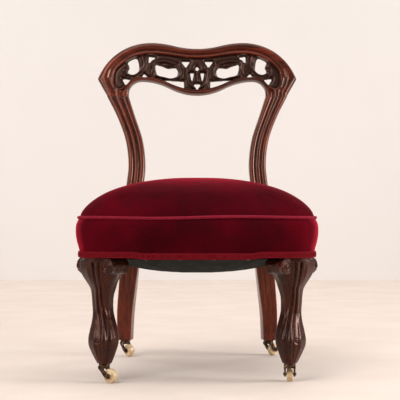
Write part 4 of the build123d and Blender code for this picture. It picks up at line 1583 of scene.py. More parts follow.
@dataclass
class FrontLeg:
    """Carved front leg: capital turned to the corner, thin neck, bulb with one small eye."""

    x: float = 195.8
    y: float = -206.0
    foot: float = 40.0
    capital_top: float = 258.0
    body_top: float = 250.0
    block_top: float = 316.0
    block_inner_x: float = 170.3
    block_back_y: float = -178.0
    block_inset: float = 9.8
    roll_out: float = 40.5
    roll_z: float = 241.0
    roll_radius: float = 18.0
    roll_half: float = 24.5
    capital_turn: float = 45.0
    body_blend: float = 7.0
    plate_blend: float = 3.0
    neck_blend: float = 5.0
    fold: float = 2.6
    roll_waist: float = 4.5
    roll_rings: tuple = ((1.5, -5.0, 1.5), (1.5, 0.0, 1.5), (1.5, 5.0, 1.5))
    coil_pitch: float = 5.0
    coil_depth: float = 2.6
    coil_width: float = 0.2
    coil_eye: float = 4.0
    coil_rise: float = 1.2
    flute_depth: float = 3.4
    flute_width: float = 1.7
    reed_rise: float = 1.6
    reed_share: float = 0.55
    side_place: float = 2.7
    side_width: float = 2.4
    bulb_depth: float = 0.62
    bulb_fade: tuple = (96.0, 116.0)
    foot_fade: tuple = (44.0, 58.0)
    eye_cut: tuple = ((-2.0, 0.0, 2.4), (1.4, 4.4, 1.4), (-0.8, 7.0, 1.6))
    sweep: tuple = (
        ((194, 12, 12), (203, 21, 17), (212, 30, 19.5))
        + ((222, 38, 21), (234, 44, 22), (250, 47, 22.5))
    )
    step: float = 1.2
    stations: tuple = (
        (0.0, 31.0, 30.0, -4.1, -2.0),
        (0.055, 42.0, 39.0, -3.3, -3.0),
        (0.115, 52.5, 49.0, -2.5, -4.0),
        (0.175, 62.0, 58.0, -2.1, -5.0),
        (0.235, 65.0, 60.0, -2.5, -4.0),
        (0.32, 60.0, 54.0, -2.8, -1.0),
        (0.41, 51.0, 46.0, -2.3, 4.0),
        (0.49, 45.0, 42.0, -0.8, 8.0),
        (0.58, 45.0, 44.0, 0.4, 9.0),
        (0.67, 48.0, 50.0, 0.2, 7.0),
        (0.73, 54.0, 57.0, -0.8, 5.0),
        (0.80, 67.0, 65.0, 1.0, 3.0),
        (0.85, 79.0, 71.0, 1.8, 1.5),
        (0.90, 88.0, 75.0, 2.4, 0.5),
        (1.0, 92.0, 78.0, 2.4, 0.0),
    )
    corners: tuple = ((0.0, -1.0), (0.6, -0.66), (1.0, -0.04), (0.72, 0.84), (0.32, 1.0))
    ridge_line: tuple = ((40.0, 0.0), (85.0, -4.0), (110.0, -2.0), (150.0, 3.0), (190.0, 6.0), (258.0, 9.0))
    reed_half: tuple = ((40.0, 2.5), (85.0, 6.5), (130.0, 5.0), (180.0, 4.0), (230.0, 5.5), (258.0, 7.0))
    eyes: tuple = ((11.5, 88.0),)

    def unit_radius(self) -> tuple[Array, Array]:
        """Reach of the leg's section in every direction, for a section of unit size.

        Returns:
            The directions, and the reach in each.
        """
        right = np.array(self.corners)
        loop = np.concatenate([right, (right * (-1, 1))[:0:-1]])
        dense = respaced(loop, 720, closed=True)
        angle = np.arctan2(dense[:, 1], dense[:, 0])
        order = np.argsort(angle)
        turns = np.linspace(-math.pi, math.pi, 361)
        reach = np.interp(turns, angle[order], np.hypot(*dense[order].T), period=2 * math.pi)
        blur = 19
        window = np.hanning(blur)
        ends = np.concatenate([reach[-blur:-1], reach, reach[1:blur]])
        return turns, np.convolve(ends, window / window.sum(), "same")[blur - 1 : 1 - blur]

    def carving(self, x: Array, py: Array, z: Array) -> Array:
        """How far the carving on the leg's front is cut in, at each place of the grid.

        Args:
            x: Distance outward from the leg's own middle line.
            py: Place from front to back as a share of the half depth.
            z: Heights.

        Returns:
            The depth of the cut, negative where the carving stands proud.
        """
        front = fall(py + 0.15, 0.05)
        ridge = smooth_curve(*np.array(self.ridge_line).T, z)
        half = smooth_curve(*np.array(self.reed_half).T, z)
        away = np.abs(x - ridge)
        fade = np.interp(z, self.foot_fade, (0.0, 1.0))
        cut = self.flute_depth * hump(away - half, self.flute_width)
        cut = cut - self.reed_rise * hump(away, self.reed_share * half)
        cut = cut + hump(away - self.side_place * half, self.side_width)
        cut = cut * np.interp(z, self.bulb_fade, (self.bulb_depth, 1.0))
        for outward, height in self.eyes:
            cut = cut + ridged(np.hypot(x - outward, z - height), self.eye_cut)
        return front * fade * cut

    def build(self, plan: SeatPlan) -> Shape:
        """Carves the right-hand leg.

        Args:
            plan: The seat's plan, which the block in the corner follows.

        Returns:
            The leg's shape.
        """
        x = np.arange(-62.0, 66.0, self.step)
        y = np.arange(-62.0, 62.0, self.step)
        z = np.arange(38.0, 319.0, self.step)
        knots = np.array(self.stations)
        share = (z - self.foot) / (self.body_top - self.foot)
        width, depth, across, along = smooth_curve(knots[:, 0], knots[:, 1:], share).T
        dx = x[:, None, None] - across
        dy = y[None, :, None] - along
        px, py = dx / (width / 2), dy / (depth / 2)
        turns, reach = self.unit_radius()
        unit = np.interp(np.arctan2(py, px), turns, reach)
        body = (np.hypot(px, py) / unit - 1) * 0.45 * np.minimum(width, depth)
        body = body + self.carving(dx, py, z)
        height = z[None, None, :]
        body = np.maximum(body, height - self.body_top - 2)
        leg = merged(body, self.capital(x, y, z), self.body_blend)
        leg = np.maximum(np.maximum(leg, height - self.capital_top), self.foot - height)
        grid_x, grid_y = np.meshgrid(x + self.x, y + self.y, indexing="ij")
        corner = outline_distance(plan.outline(-self.block_inset), grid_x, grid_y)
        corner = np.maximum(np.maximum(corner, self.block_inner_x - grid_x), grid_y - self.block_back_y)
        block = np.maximum(corner[:, :, None], np.maximum(height - self.block_top, self.body_top - height))
        solid = np.minimum(leg, block)
        origin = np.array([x[0] + self.x, y[0] + self.y, z[0]])
        return softened(surface_net(solid, origin, self.step), 2, 0.35)

    def capital(self, x: Array, y: Array, z: Array) -> Array:
        """Field of the capital: a neck that sweeps out into two scroll rolls, under a flat plate.

        Args:
            x: Grid places across.
            y: Grid places from front to back.
            z: Grid heights.

        Returns:
            The field's values on the grid.
        """
        turn = math.radians(self.capital_turn)
        sideways = x[:, None, None] * math.cos(turn) + y[None, :, None] * math.sin(turn)
        facing = x[:, None, None] * math.sin(turn) - y[None, :, None] * math.cos(turn)
        rise = z[None, None, :] - self.roll_z
        rolls = None
        for side in (-1, 1):
            over = sideways - side * self.roll_out
            away = np.hypot(over, rise)
            swing = np.arctan2(rise, -side * over)
            waist = np.abs(facing) / self.roll_half
            rings = ridged(facing, self.roll_rings)
            reach = self.roll_radius - self.roll_waist * (1 - waist**2) + rings
            coil = np.mod(away / self.coil_pitch - swing / (2 * math.pi), 1.0)
            groove = self.coil_depth * hump(coil - 0.5, self.coil_width) * (away > self.coil_eye)
            eye = self.coil_rise * (away <= self.coil_eye)
            end = np.abs(facing) - (self.roll_half - self.coil_rise - groove + eye)
            roll = np.maximum(away - reach, end)
            rolls = roll if rolls is None else np.minimum(rolls, roll)
        middle = (self.body_top + self.capital_top) / 2
        plate = np.maximum(
            np.maximum(np.abs(sideways) - self.roll_out, np.abs(facing) - self.roll_half + 1),
            np.abs(z[None, None, :] - middle) - (self.capital_top - self.body_top) / 2,
        )
        heights, reach, thick = np.array(self.sweep).T
        long = np.interp(z, heights, reach)
        short = np.interp(z, heights, thick)
        bend = (np.abs(sideways) / long) ** self.fold + (np.abs(facing) / short) ** self.fold
        neck = (bend ** (1 / self.fold) - 1) * short
        neck = np.maximum(neck, np.maximum(heights[0] - z, z - self.body_top)[None, None, :])
        return merged(merged(rolls, plate, self.plate_blend), neck, self.neck_blend)

    def dress(self, finishes: Finishes, plan: SeatPlan) -> None:
        """Puts both front legs in place."""
        both_sides(self.build(plan), "carved_front_leg", "front_leg", finishes.leg)


@dataclass
class SeatFrame:
    """Rails, corner braces and screws inside the seat."""

    rail_bevel: float = 1.0
    screw_bevel: float = 0.3

    def dress(self, finishes: Finishes) -> None:
        """Gives the frame's pieces their finishes.

        Args:
            finishes: The chair's finishes.
        """
        for node in ("front_seat_rail", "rear_seat_rail"):
            dress_node(node, finishes.rail, self.rail_bevel)
        for side in Side:
            name = side.name.lower()
            dress_node(f"side_rail_{name}", finishes.side_rail, self.rail_bevel)
            for place in ("front", "back"):
                dress_node(f"{place}_brace_{name}", finishes.rail, self.rail_bevel)
        dress_node("brace_screws", finishes.steel, self.screw_bevel)


# Upholstery


@dataclass
class VelvetSeat:
    """Domed velvet cover, border, piping cord and gimp braid."""

    plan: SeatPlan
    piping_height: float = 341.0
    piping_grow: float = -1.6
    waver: float = 1.9
    waver_length: float = 400.0
    crown: float = 89.0
    fullness: float = 1.8
    skin: float = 9.0
    rings: int = 44
    pressure: float = 3.0
    frames: int = 20
    cap: float = 2.0
    calm: float = 40.0
    cover_grow: float = -3.7
    cover_lift: float = 0.2
    border_inside: float = -9.4
    border_levels: tuple = (
        ((255.0, -4.0), (273.0, -3.4), (292.0, 2.0))
        + ((312.0, 5.0), (331.0, 2.6), (340.8, -3.4))
    )
    cord_step: float = 1.1
    cord_twist: float = 13.0
    strand_out: float = 1.8
    strand_radius: float = 1.85
    gimp_grow: float = -2.6
    gimp_lift: float = 0.6
    gimp_backing: tuple = ((-0.5, 0.3), (0.9, 0.8), (0.9, 12.4), (-0.5, 12.9))
    gimp_edges: tuple = (1.3, 11.9)
    gimp_loop: float = 11.0

    def dome(self) -> Array:
        """Rows of the cover's outside, from the seam to the crown.

        Returns:
            The rows of points.
        """
        rows = []
        for share in np.sin(np.linspace(0, math.pi / 2, self.rings))[:-1]:
            shrink = math.sqrt(1 - share**self.fullness)
            plan = self.plan.outline(self.cover_grow, shrink, (1 - shrink) / 0.25)
            rows.append(at_height(plan, self.piping_height + self.cover_lift + self.crown * share))
        return np.array(rows)

    def cover(self) -> Shape:
        """Shapes the cover, filled out by a cloth simulation.

        Returns:
            A shell with an outside and an inside.
        """
        rows = self.dome()
        count, width = rows.shape[:2]
        outer = lofted(rows)
        top = np.array([[0.0, self.plan.middle_y, self.piping_height + self.cover_lift + self.crown]])
        points = np.concatenate([outer.points, top])
        last = (count - 1) * width
        fan = [(last + i, last + (i + 1) % width, len(points) - 1) for i in range(width)]
        shape = Shape(points, outer.faces + fan)
        shape = self.filled(shape, list(range(width)))
        inner = self.inside(shape, width)
        rim = [(i, len(points) + i, len(points) + (i + 1) % width, (i + 1) % width) for i in range(width)]
        back = [tuple(len(points) + i for i in face[::-1]) for face in shape.faces]
        return Shape(np.concatenate([shape.points, inner]), shape.faces + rim + back)

    def inside(self, shape: Shape, width: int) -> Array:
        """Points of the cover's inside, under its outside.

        Args:
            shape: The cover's outside.
            width: How many points its seam has.

        Returns:
            One point under each of the outside's.
        """
        middle = np.array([0.0, self.plan.middle_y, self.piping_height])
        reach = shape.points - middle
        flat = np.hypot(reach[:, 0], reach[:, 1])[:, None]
        inward = reach * (1 - self.skin / np.maximum(flat, 60.0)) * (1, 1, 0)
        lower = np.maximum(reach[:, 2] - self.skin, 0.0)
        lower[:width] = reach[:width, 2]
        return middle + np.column_stack([inward[:, :2], lower])

    def filled(self, shape: Shape, rim: list[int]) -> Shape:
        """Blows the cover up as tight cloth held at its seam.

        Args:
            shape: The cover before it is stuffed.
            rim: The points that are sewn down.

        Returns:
            The stuffed cover.
        """
        mesh = new_mesh("cover_work", shape.points * MM, shape.faces)
        work = in_scene("cover_work", mesh)
        work.vertex_groups.new(name="seam").add(rim, 1.0, "REPLACE")
        cloth = work.modifiers.new("stuffing", "CLOTH")
        cloth.settings.quality = 6
        cloth.settings.vertex_group_mass = "seam"
        cloth.settings.use_pressure = True
        cloth.settings.uniform_pressure_force = self.pressure
        cloth.settings.effector_weights.gravity = 0.0
        cloth.collision_settings.use_collision = False
        cloth.point_cache.frame_start, cloth.point_cache.frame_end = 1, self.frames
        scene = bpy.context.scene
        for step in range(1, self.frames + 1):
            scene.frame_set(step)
        moved = work.evaluated_get(bpy.context.evaluated_depsgraph_get()).to_mesh()
        move = mesh_points(moved) / MM - shape.points
        scene.frame_set(1)
        bpy.data.objects.remove(work)
        bpy.data.meshes.remove(mesh)
        far = np.linalg.norm(move, axis=1)[:, None]
        log.info("cover moved by up to %.1f mm", far.max())
        below = shape.points[:, 2].max() - shape.points[:, 2:]
        held = np.minimum(1.0, self.cap / np.maximum(far, TINY)) * np.clip(below / self.calm, 0, 1)
        return Shape(shape.points + held * move, shape.faces)

    def border(self) -> Shape:
        """Shapes the padded border between the gimp and the piping.

        Returns:
            A closed band.
        """
        base = self.plan.tucked(0.0)
        low = lower_edge(base[:, 0])
        levels = np.array(self.border_levels)
        top = levels[-1, 0]
        turn = np.linspace(0, 2 * math.pi, len(base), endpoint=False)
        waves = ((0.5, 17, 0.6), (0.35, 29, 2.1), (0.25, 43, 4.0))
        uneven = sum(depth * np.sin(count * turn + start) for depth, count, start in waves)
        outlines = {grow: self.plan.tucked(grow) for grow in np.arange(-10.0, 7.0, 1.0)}
        rows = []
        for share in np.linspace(0, 1, 30):
            height = low + (top - low) * share
            puff = 4 * share * (1 - share)
            grow = smooth_curve(levels[:, 0], levels[:, 1], height) + uneven * puff
            rows.append(self.spread(outlines, grow, height))
        inside = np.full(len(base), self.border_inside)
        rows += [self.spread(outlines, inside, height) for height in (np.full(len(base), top), low)]
        return lofted(np.array([*rows, rows[0]]))

    def spread(self, outlines: dict[float, Array], grow: Array, height: Array) -> Array:
        """Points of a row whose spread changes along it.

        Args:
            outlines: The border's outline for each whole spread.
            grow: The spread at each point of the row.
            height: The height at each point.

        Returns:
            The row's points.
        """
        low = np.floor(grow)
        share = (grow - low)[:, None]
        pick = np.arange(len(grow))
        one = np.array([outlines[value][i] for value, i in zip(low, pick)])
        two = np.array([outlines[value + 1][i] for value, i in zip(low, pick)])
        return np.column_stack([one * (1 - share) + two * share, height])

    def cord(self, path: Array) -> list[Shape]:
        """Three-strand twisted cord along a nearly level path.

        Args:
            path: The cord's middle.

        Returns:
            The strands.
        """
        length = path_length(path)
        line = respaced(path, int(length / self.cord_step))
        side = np.cross(headings(line), UP)
        travel = np.linspace(0, length, len(line))
        strands = []
        for start in range(3):
            turn = 2 * math.pi * (travel / self.cord_twist + start / 3)
            wound = line + self.strand_out * (np.cos(turn)[:, None] * side + np.sin(turn)[:, None] * UP)
            strands.append(tube(wound, self.strand_radius, 6))
        return strands

    def piping(self) -> Shape:
        """Shapes the cord in the seam, in a run round the front and one at the back.

        Returns:
            Both runs of cord.
        """
        run = respaced(self.plan.seam(self.piping_grow), 400)
        fade = 1 - (run[:, 0] / self.plan.front_half) ** 2
        sewn = self.piping_height + self.waver * fade * np.sin(2 * math.pi * run[:, 0] / self.waver_length)
        x, y = self.plan.notch_x, self.plan.back_y + self.piping_grow
        back = np.array([(place, y, self.piping_height) for place in (-x, 0.0, x)])
        return Shape.joined(self.cord(at_height(run, sewn)) + self.cord(back))

    def gimp(self) -> Shape:
        """Shapes the gimp braid: a backing, two edge cords and a looped cord between them.

        Returns:
            The braid, in a run round the front and one at the back.
        """
        front = self.plan.seam(self.gimp_grow)
        x, y = self.plan.notch_x, self.plan.back_y + self.gimp_grow
        runs = [respaced(front, 1500), respaced(np.array([(-x, y), (x, y)]), 260)]
        shapes: list[Shape] = []
        for run in runs:
            low = lower_edge(run[:, 0]) + self.gimp_lift
            along = headings(run)
            out = np.column_stack([along[:, 1], -along[:, 0]])
            travel = np.concatenate([[0], np.cumsum(np.linalg.norm(np.diff(run, axis=0), axis=1))])
            sheet = [at_height(run + proud * out, low + rise)[::3] for proud, rise in self.gimp_backing]
            shapes.append(lofted(np.array(sheet).transpose(1, 0, 2), capped=True))
            for rise in self.gimp_edges:
                shapes.append(tube(at_height(run + 1.2 * out, low + rise)[::2], 1.15, 6))
            for start in (0.0, math.pi):
                turn = 2 * math.pi * travel / self.gimp_loop + start
                lift = low + 6.6 + 3.7 * np.sin(turn)
                proud = 1.5 + 0.5 * np.cos(turn)
                shapes.append(tube(np.column_stack([run + proud[:, None] * out, lift]), 0.95, 6))
        return Shape.joined(shapes)

    def dress(self, finishes: Finishes) -> None:
        """Puts the velvet, cord and braid in place.

        Args:
            finishes: The chair's finishes.
        """
        shape, finish = self.cover(), finishes.velvet
        cover = make_piece("velvet_cover", shape, finish, stands_for=("seat_cover",))
        shape, finish = self.border(), finishes.border
        border = make_piece("velvet_border", shape, finish, stands_for=("seat_border",))
        make_piece("twisted_piping", self.piping(), finishes.piping, stands_for=("seat_piping",))
        make_piece("looped_gimp", self.gimp(), finishes.gimp, stands_for=("gimp_braid",))


@dataclass
class SeatInside:
    """What the seat is built up from: webbing, springs, hessian and hair."""

    web_count: int = 3
    web_width: float = 44.0
    web_thickness: float = 1.6
    web_landing: float = 18.0
    selvedge: float = 1.2
    spring_wire: float = 1.5
    spring_turns: int = 4
    spring_waist: float = 23.0
    spring_flare: float = 11.0
    spring_x: float = 80.0
    spring_y: float = 84.0
    spring_reach: float = 38.0
    hessian_half: tuple = ((0.78, -1.0), (1.0, -0.7), (0.78, 0.7), (0.52, 0.74), (0.52, 1.0))
    hessian_rise: tuple = (0.0, 0.2, 0.4, 0.55, 0.75, 0.9, 1.0)
    hessian_spare: float = 0.06

    def strip(self, line: Array, way: Array) -> Shape:
        """One woven strip along a line.

        Args:
            line: The middle of the strip's upper face.
            way: Direction across the strip.

        Returns:
            The strip, with rounded selvedges.
        """
        half, thick = self.web_width / 2, self.web_thickness
        flat = half - self.selvedge
        section = [(-half, -thick / 2), (-flat, 0), (flat, 0)]
        section += [(half, -thick / 2), (flat, -thick), (-flat, -thick)]
        rows = np.array([[point + across * way + (0, 0, up) for across, up in section] for point in line])
        return lofted(rows, capped=True)

    def strips(self, node: str, lengthwise: bool) -> Shape:
        """The strips that run one way, read off where their node lies.

        Args:
            node: The node that they replace.
            lengthwise: Whether they run from front to back.

        Returns:
            The strips.
        """
        given = node_shape(node).points
        along, cross = (1, 0) if lengthwise else (0, 1)
        last = given[:, cross].max() - self.web_width
        shapes = []
        for start in np.linspace(given[:, cross].min(), last, self.web_count):
            near = (given[:, cross] > start - 1) & (given[:, cross] < start + self.web_width + 1)
            strip = given[near]
            places = np.linspace(strip[:, along].min(), strip[:, along].max(), 41)
            high = strip[strip[:, along] <= places[0] + 0.5][:, 2].max()
            line = np.zeros((len(places), 3))
            line[:, along] = places
            line[:, cross] = start + self.web_width / 2
            line[:, 2] = self.hung(places, strip[:, 2].min() + self.web_thickness, high)
            way = np.zeros(3)
            way[cross] = 1.0 if lengthwise else -1.0
            shapes.append(self.strip(line, way))
        return Shape.joined(shapes)

    def hung(self, places: Array, low: float, high: float) -> Array:
        """Heights of a strip that lies on the rails and hangs between them.

        Args:
            places: Places along the strip.
            low: Height of its lowest place.
            high: Height on the rails.

        Returns:
            The heights.
        """
        middle = (places[-1] + places[0]) / 2
        free = (places[-1] - places[0]) / 2 - self.web_landing
        share = np.clip(np.abs(places - middle) / free, 0, 1)
        return high - (high - low) * (1 - share**2)

    def spring(self, x: float, y: float, bottom: float, top: float) -> Shape:
        """One waisted spring of round wire.

        Args:
            x: Its place across.
            y: Its place from front to back.
            bottom: Height of its lowest turn.
            top: Height of its highest turn.

        Returns:
            The spring.
        """
        share = np.linspace(0, 1, self.spring_turns * 32 + 1)
        turn = 2 * math.pi * self.spring_turns * share
        reach = self.spring_waist + self.spring_flare * (2 * share - 1) ** 2
        rise = bottom + (top - bottom) * share
        wire = np.column_stack([x + reach * np.cos(turn), y + reach * np.sin(turn), rise])
        return tube(wire, self.spring_wire, 8)

    def springs(self) -> Shape:
        """The seat's five springs.

        Returns:
            The springs as one shape.
        """
        given = node_shape("seat_springs").points
        y = (given[:, 1].min() + given[:, 1].max()) / 2
        top = given[:, 2].max() - self.spring_wire
        corners = [(sx, sy) for sx in (-1, 1) for sy in (-1, 1)]
        shapes = []
        for across, along in [(0, 0), *corners]:
            place = np.array([across * self.spring_x, y + along * self.spring_y])
            near = np.hypot(*(given[:, :2] - place).T) < self.spring_reach
            shapes.append(self.spring(*place, given[near][:, 2].min() + self.spring_wire + 0.4, top))
        return Shape.joined(shapes)

    def dress(self, finishes: Finishes) -> None:
        """Puts the inside of the seat in place.

        Args:
            finishes: The chair's finishes.
        """
        for node, lengthwise in (("webbing_lengthwise", True), ("webbing_crosswise", False)):
            strips = self.strips(node, lengthwise)
            make_piece(f"woven_{node}", strips, finishes.webbing, stands_for=(node,))
        springs = self.springs()
        make_piece("wound_springs", springs, finishes.steel, stands_for=("seat_springs",))
        hair = softened(remeshed(node_shape("seat_stuffing"), 5.0), 3)
        stuffing = make_piece("hair_stuffing", hair, finishes.hair, stands_for=("seat_stuffing",))
        self.hessian(finishes)

    def hessian(self, finishes: Finishes) -> None:
        """Puts the hessian over the springs, as one stretched sheet.

        Args:
            finishes: The chair's finishes.
        """
        given = node_shape("spring_hessian").points
        low, high = given[:, 2].min(), given[:, 2].max()
        x, front, back = np.abs(given[:, 0]).max(), given[:, 1].min(), given[:, 1].max()
        middle, half = (front + back) / 2, (back - front) / 2
        right = np.array(self.hessian_half) * (x, half)
        left = (right * (-1, 1))[::-1]
        loop = respaced(np.concatenate([left[-1:], right, left[:-1]]), 96, closed=True)
        shrinks = np.interp(self.hessian_rise, [0, 0.55, 1.0], [1.0, 0.9, 0.68]) - 0.012
        levels = [low + 0.4 + (high - low - 1.0) * share for share in self.hessian_rise]
        steps = [*zip(shrinks, levels), *((shrink, high - 0.6) for shrink in (0.5, 0.3, 0.1))]
        shape = dished([at_height(loop * shrink + (0, middle), level) for shrink, level in steps])
        finish, stands_for = finishes.hessian, ("spring_hessian",)
        piece = make_piece("hessian_sheet", shape, finish, stands_for=stands_for)
        area = sum(face.area for face in piece.data.polygons)
        flat = tuple(round(2 * reach * MM + self.hessian_spare, 3) for reach in (x, half))
        area = min(area, flat[0] * flat[1])


@dataclass
class BottomCloth:
    """Dark cloth tacked under the rails, sagging with age."""

    top: float = 255.2
    sag: float = 36.0
    front_y: float = -236.0
    corner_y: float = -148.0
    back_y: float = 190.0
    front_x: float = 138.0
    side_front_x: float = 218.0
    side_back_x: float = 170.5
    notch_x: float = 130.0
    notch_y: float = 168.0
    leg_cut: float = 343.0
    middle_y: float = -27.0
    edge_step: float = 9.0
    flat_edge: float = 0.945
    shrinks: tuple = (1.0, 0.975, 0.945, 0.91, 0.86, 0.79, 0.7, 0.6, 0.48, 0.36, 0.24, 0.12, 0.05)
    tack_room: float = 9.0
    tack_head: tuple = ((0.4, -1.0), (1.6, -0.75), (2.4, -0.2), (2.6, 0.4), (2.5, 0.6))

    def build(self) -> Shape:
        """Shapes the cloth as rows from its edge to its lowest point.

        Returns:
            The cloth.
        """
        right = [
            (self.front_x, self.front_y),
            (self.front_x, self.front_x - self.leg_cut),
            (self.corner_y + self.leg_cut, self.corner_y),
            (self.side_front_x, self.corner_y),
            (self.side_back_x, self.notch_y),
            (self.notch_x, self.notch_y),
            (self.notch_x, self.back_y),
        ]
        loop = np.array(right + [(-x, y) for x, y in reversed(right)])
        edge = []
        for start, end in zip(loop, np.roll(loop, -1, axis=0)):
            count = max(2, int(np.linalg.norm(end - start) / self.edge_step))
            edge.append(np.linspace(start, end, count, endpoint=False))
        middle = np.array([0.0, self.middle_y])
        reach = np.concatenate(edge) - middle
        rows = []
        for shrink in self.shrinks:
            share = np.clip((self.flat_edge - shrink) / 0.9, 0, 1)
            drop = self.sag * (1 - (1 - share) ** 2.1)
            rows.append(at_height(middle + shrink * reach, self.top - drop))
        return dished(rows)

    def tacks(self) -> Shape:
        """Domed tack heads where the tacks' node has them.

        Returns:
            The heads as one shape.
        """
        given = node_shape("bottom_cloth_tacks").points
        centres: list[Array] = []
        for point in given:
            if all(np.hypot(*(point - other)[:2]) > self.tack_room for other in centres):
                near = given[np.hypot(*(given - point)[:, :2].T) < self.tack_room]
                centres.append((near.min(axis=0) + near.max(axis=0)) / 2)
        head = lathed(self.tack_head, 14)
        return Shape.joined([Shape(head.points + centre, head.faces) for centre in centres])

    def dress(self, finishes: Finishes) -> None:
        """Puts the cloth and its tacks in place.

        Args:
            finishes: The chair's finishes.
        """
        shape, finish, node = self.build(), finishes.bottom_cloth, "bottom_cloth"
        cloth = make_piece("sagging_bottom_cloth", shape, finish, stands_for=(node,))
        tacks = self.tacks()
        make_piece("domed_tacks", tacks, finishes.steel, stands_for=("bottom_cloth_tacks",))


# Castors


@dataclass
class Castor:
    """One castor: plate and pin, swivelling fork, axle and china wheel."""

    corner: str
    x: float
    y: float
    angle: float
    trail: float = 17.0
    wheel_radius: float = 15.0
    wheel_half: float = 7.0
    wheel_room: float = 16.3
    wheel_gap: float = 7.8
    bore: float = 2.1
    pin: float = 3.6
    fork_top: float = 37.2
    collar: float = 11.2
    collar_z: float = 34.0
    collar_half: float = 3.6
    arm_line: tuple = ((-4.0, 31.5), (1.0, 27.5), (6.0, 21.5), (11.0, 16.5), (17.0, 15.0))
    arm_half: float = 4.3
    arm_out: float = 9.9
    arm_thick: float = 4.0
    boss: float = 5.4
    step: float = 0.8
    plate_bevel: float = 0.6
    axle_bevel: float = 0.3

    def turned(self, shape: Shape) -> Shape:
        """Moves a shape from the castor's own frame to its corner.

        Args:
            shape: A shape about the castor's stem.

        Returns:
            The shape at its corner.
        """
        turn = math.radians(self.angle)
        x, y, z = shape.points.T
        across = self.x + x * math.cos(turn) - y * math.sin(turn)
        along = self.y + x * math.sin(turn) + y * math.cos(turn)
        return Shape(np.column_stack([across, along, z]), shape.faces)

    def wheel(self) -> Shape:
        """Shapes the wheel: a barrel tread, soft shoulders and a raised hub.

        Returns:
            The wheel in the castor's own frame.
        """
        half, radius = self.wheel_half, self.wheel_radius
        side = [
            (self.bore, half - 0.1),
            (self.bore + 0.5, half),
            (5.2, half),
            (5.9, half - 0.5),
            (6.4, half - 1.3),
            (9.5, half - 1.5),
            (11.4, half - 0.9),
            (12.6, half - 0.9),
            (13.8, half - 1.2),
            (14.5, half - 2.2),
            (14.9, half - 3.8),
            (radius, 0.0),
        ]
        profile = [(r, -h) for r, h in side] + [(r, h) for r, h in side[-2::-1]]
        turn = np.linspace(0, 2 * math.pi, 56, endpoint=False)
        rows = np.array(
            [[(self.trail + r * math.cos(a), h, radius + r * math.sin(a)) for a in turn] for r, h in profile]
        )
        return lofted(np.concatenate([rows, rows[:1]]))

    def fork(self) -> Shape:
        """Shapes the fork: a collar round the pin and two slender arms that hold the axle.

        Returns:
            The casting in the castor's own frame.
        """
        x = np.arange(-14.0, 27.0, self.step)
        y = np.arange(-14.0, 14.5, self.step)
        z = np.arange(6.0, 39.0, self.step)
        across, height = np.meshgrid(x, z, indexing="ij")
        from_axle = np.hypot(across - self.trail, height - self.wheel_radius)
        arm = line_distance(flowing(self.arm_line), across, height) - self.arm_half
        arm = merged(arm, from_axle - self.boss, 3.0)[:, None, :]
        arms = np.maximum(arm, np.abs(np.abs(y) - self.arm_out)[None, :, None] - self.arm_thick / 2)
        from_pin = np.hypot(x[:, None, None], y[None, :, None])
        collar = np.maximum(from_pin - self.collar, np.abs(z - self.collar_z) - self.collar_half)
        solid = merged(arms, collar, 3.5)
        from_middle = np.abs(y)[None, :, None]
        room = np.maximum((from_axle - self.wheel_room)[:, None, :], from_middle - self.wheel_gap)
        solid = np.maximum(solid, -room)
        solid = np.maximum(solid, self.pin - from_pin)
        solid = np.maximum(solid, (self.bore - from_axle)[:, None, :])
        solid = np.maximum(solid, z - self.fork_top)
        return softened(surface_net(solid, np.array([x[0], y[0], z[0]]), self.step), 3, 0.4)

    def dress(self, finishes: Finishes) -> None:
        """Puts the castor's pieces on their bodies.

        Args:
            finishes: The chair's finishes.
        """
        corner = self.corner
        dress_node(f"castor_plate_{corner}", finishes.bronze, self.plate_bevel)
        dress_node(f"castor_axle_{corner}", finishes.bronze, self.axle_bevel)
        fork, wheel = self.turned(self.fork()), self.turned(self.wheel())
        rides, stands_for = f"castor_{corner}", (f"castor_fork_{corner}",)
        make_piece(f"cast_fork_{corner}", fork, finishes.bronze, rides, stands_for)
        rides, stands_for = f"wheel_{corner}", (f"castor_wheel_{corner}",)
        make_piece(f"china_wheel_{corner}", wheel, finishes.china, rides, stands_for)


# Stage


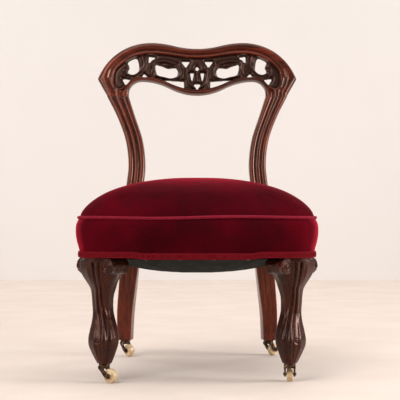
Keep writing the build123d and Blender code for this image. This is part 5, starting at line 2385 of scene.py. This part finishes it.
@dataclass
class Studio:
    """Camera, soft lamps, floor and wall."""

    camera_x: float = 0.0
    camera_y: float = -2.49
    camera_z: float = 0.338
    lens: float = 99.0
    sensor: float = 36.0
    pitch: float = 0.99
    yaw: float = 0.15
    wall_y: float = 3.6
    daylight: tuple = (1.0, 0.985, 0.965)
    bounced: tuple = (1.0, 0.985, 0.97)
    overhead: tuple = (1.0, 0.99, 0.975)
    room_light: float = 0.40

    def camera(self) -> None:
        """Sets up the camera where the photograph was taken from."""
        data = bpy.data.cameras.new("camera")
        data.lens, data.sensor_width = self.lens, self.sensor
        data.dof.use_dof = False
        camera = in_scene("camera", data)
        camera.location = (self.camera_x, self.camera_y, self.camera_z)
        camera.rotation_euler = (math.radians(90 + self.pitch), 0.0, math.radians(-self.yaw))
        bpy.context.scene.camera = camera

    def lamp(self, name: str, place: tuple, aim: tuple, size: float, power: float, colour: tuple) -> None:
        """Hangs one soft lamp.

        Args:
            name: The lamp's name.
            place: Where it hangs.
            aim: What it points at.
            size: Its side.
            power: Its power in watts.
            colour: Its colour.
        """
        data = bpy.data.lights.new(name, "AREA")
        data.shape, data.size, data.energy, data.color = "SQUARE", size, power, colour
        lamp = in_scene(name, data)
        lamp.location = place
        way = Vector(aim) - Vector(place)
        lamp.rotation_euler = way.to_track_quat("-Z", "Y").to_euler()

    def lights(self) -> None:
        """Hangs the lamps and sets the room's light."""
        low, high = (0, 0, 0.35), (0, 0, 0.4)
        self.lamp("key", (-1.5, -2.4, 2.6), low, 1.9, 64.0, self.daylight)
        self.lamp("side", (-2.3, -1.0, 0.9), high, 1.1, 20.0, self.daylight)
        self.lamp("fill", (2.4, -0.5, 0.9), high, 1.1, 60.0, self.bounced)
        self.lamp("top", (0.1, -0.3, 2.9), (0, 0, 0.3), 2.2, 30.0, self.overhead)
        for side in Side:
            place, aim = (side.value * 2.4, 2.5, 2.7), (side.value * 0.8, self.wall_y, 0.3)
            self.lamp(f"wall_{side.name.lower()}", place, aim, 1.2, 20.0, self.bounced)
        world = bpy.data.worlds.new("room")
        bpy.context.scene.world = world
        world.use_nodes = True
        back = world.node_tree.nodes["Background"]
        back.inputs["Color"].default_value = (*self.daylight, 1.0)
        back.inputs["Strength"].default_value = self.room_light

    def backdrop(self, finishes: Finishes) -> None:
        """Lays the floor and stands the wall behind it.

        Args:
            finishes: The chair's finishes.
        """
        wide, near, high, far = 9.0, -7.0, 6.0, self.wall_y
        low = [(-wide, far, 0), (wide, far, 0)]
        floor = self.sheet("floor", [(-wide, near, 0), (wide, near, 0), *low[::-1]], finishes.floor)
        wall = self.sheet("wall", [*low, (wide, far, high), (-wide, far, high)], finishes.wall)

    def sheet(self, name: str, corners: list[tuple], finish: bpy.types.Material) -> bpy.types.Object:
        """One flat sheet of the stage."""
        mesh = new_mesh(name, np.array(corners, float), [(0, 1, 2, 3)])
        mesh.materials.append(finish)
        return in_scene(name, mesh)

    def build(self, finishes: Finishes) -> None:
        """Sets the stage."""
        bpy.context.scene.view_settings.view_transform = "Standard"
        self.camera()
        self.lights()
        self.backdrop(finishes)


def main() -> None:
    """Builds the chair's pieces in order."""
    logging.basicConfig(level=logging.INFO, format="%(message)s")
    finishes = Finishes()
    plan = SeatPlan()
    Studio().build(finishes)
    CrestRail().dress(finishes)
    BackUpright().dress(finishes)
    FrontLeg().dress(finishes, plan)
    SeatFrame().dress(finishes)
    VelvetSeat(plan).dress(finishes)
    SeatInside().dress(finishes)
    BottomCloth().dress(finishes)
    corners = (("front", FRONT_CASTOR, (-35.0, 85.0)), ("back", BACK_CASTOR, (-55.0, 50.0)))
    for row, (x, y), angles in corners:
        for side, angle in zip(Side, angles):
            Castor(f"{row}_{side.name.lower()}", side.value * x, y, angle).dress(finishes)


if __name__ == "__main__":
    main()
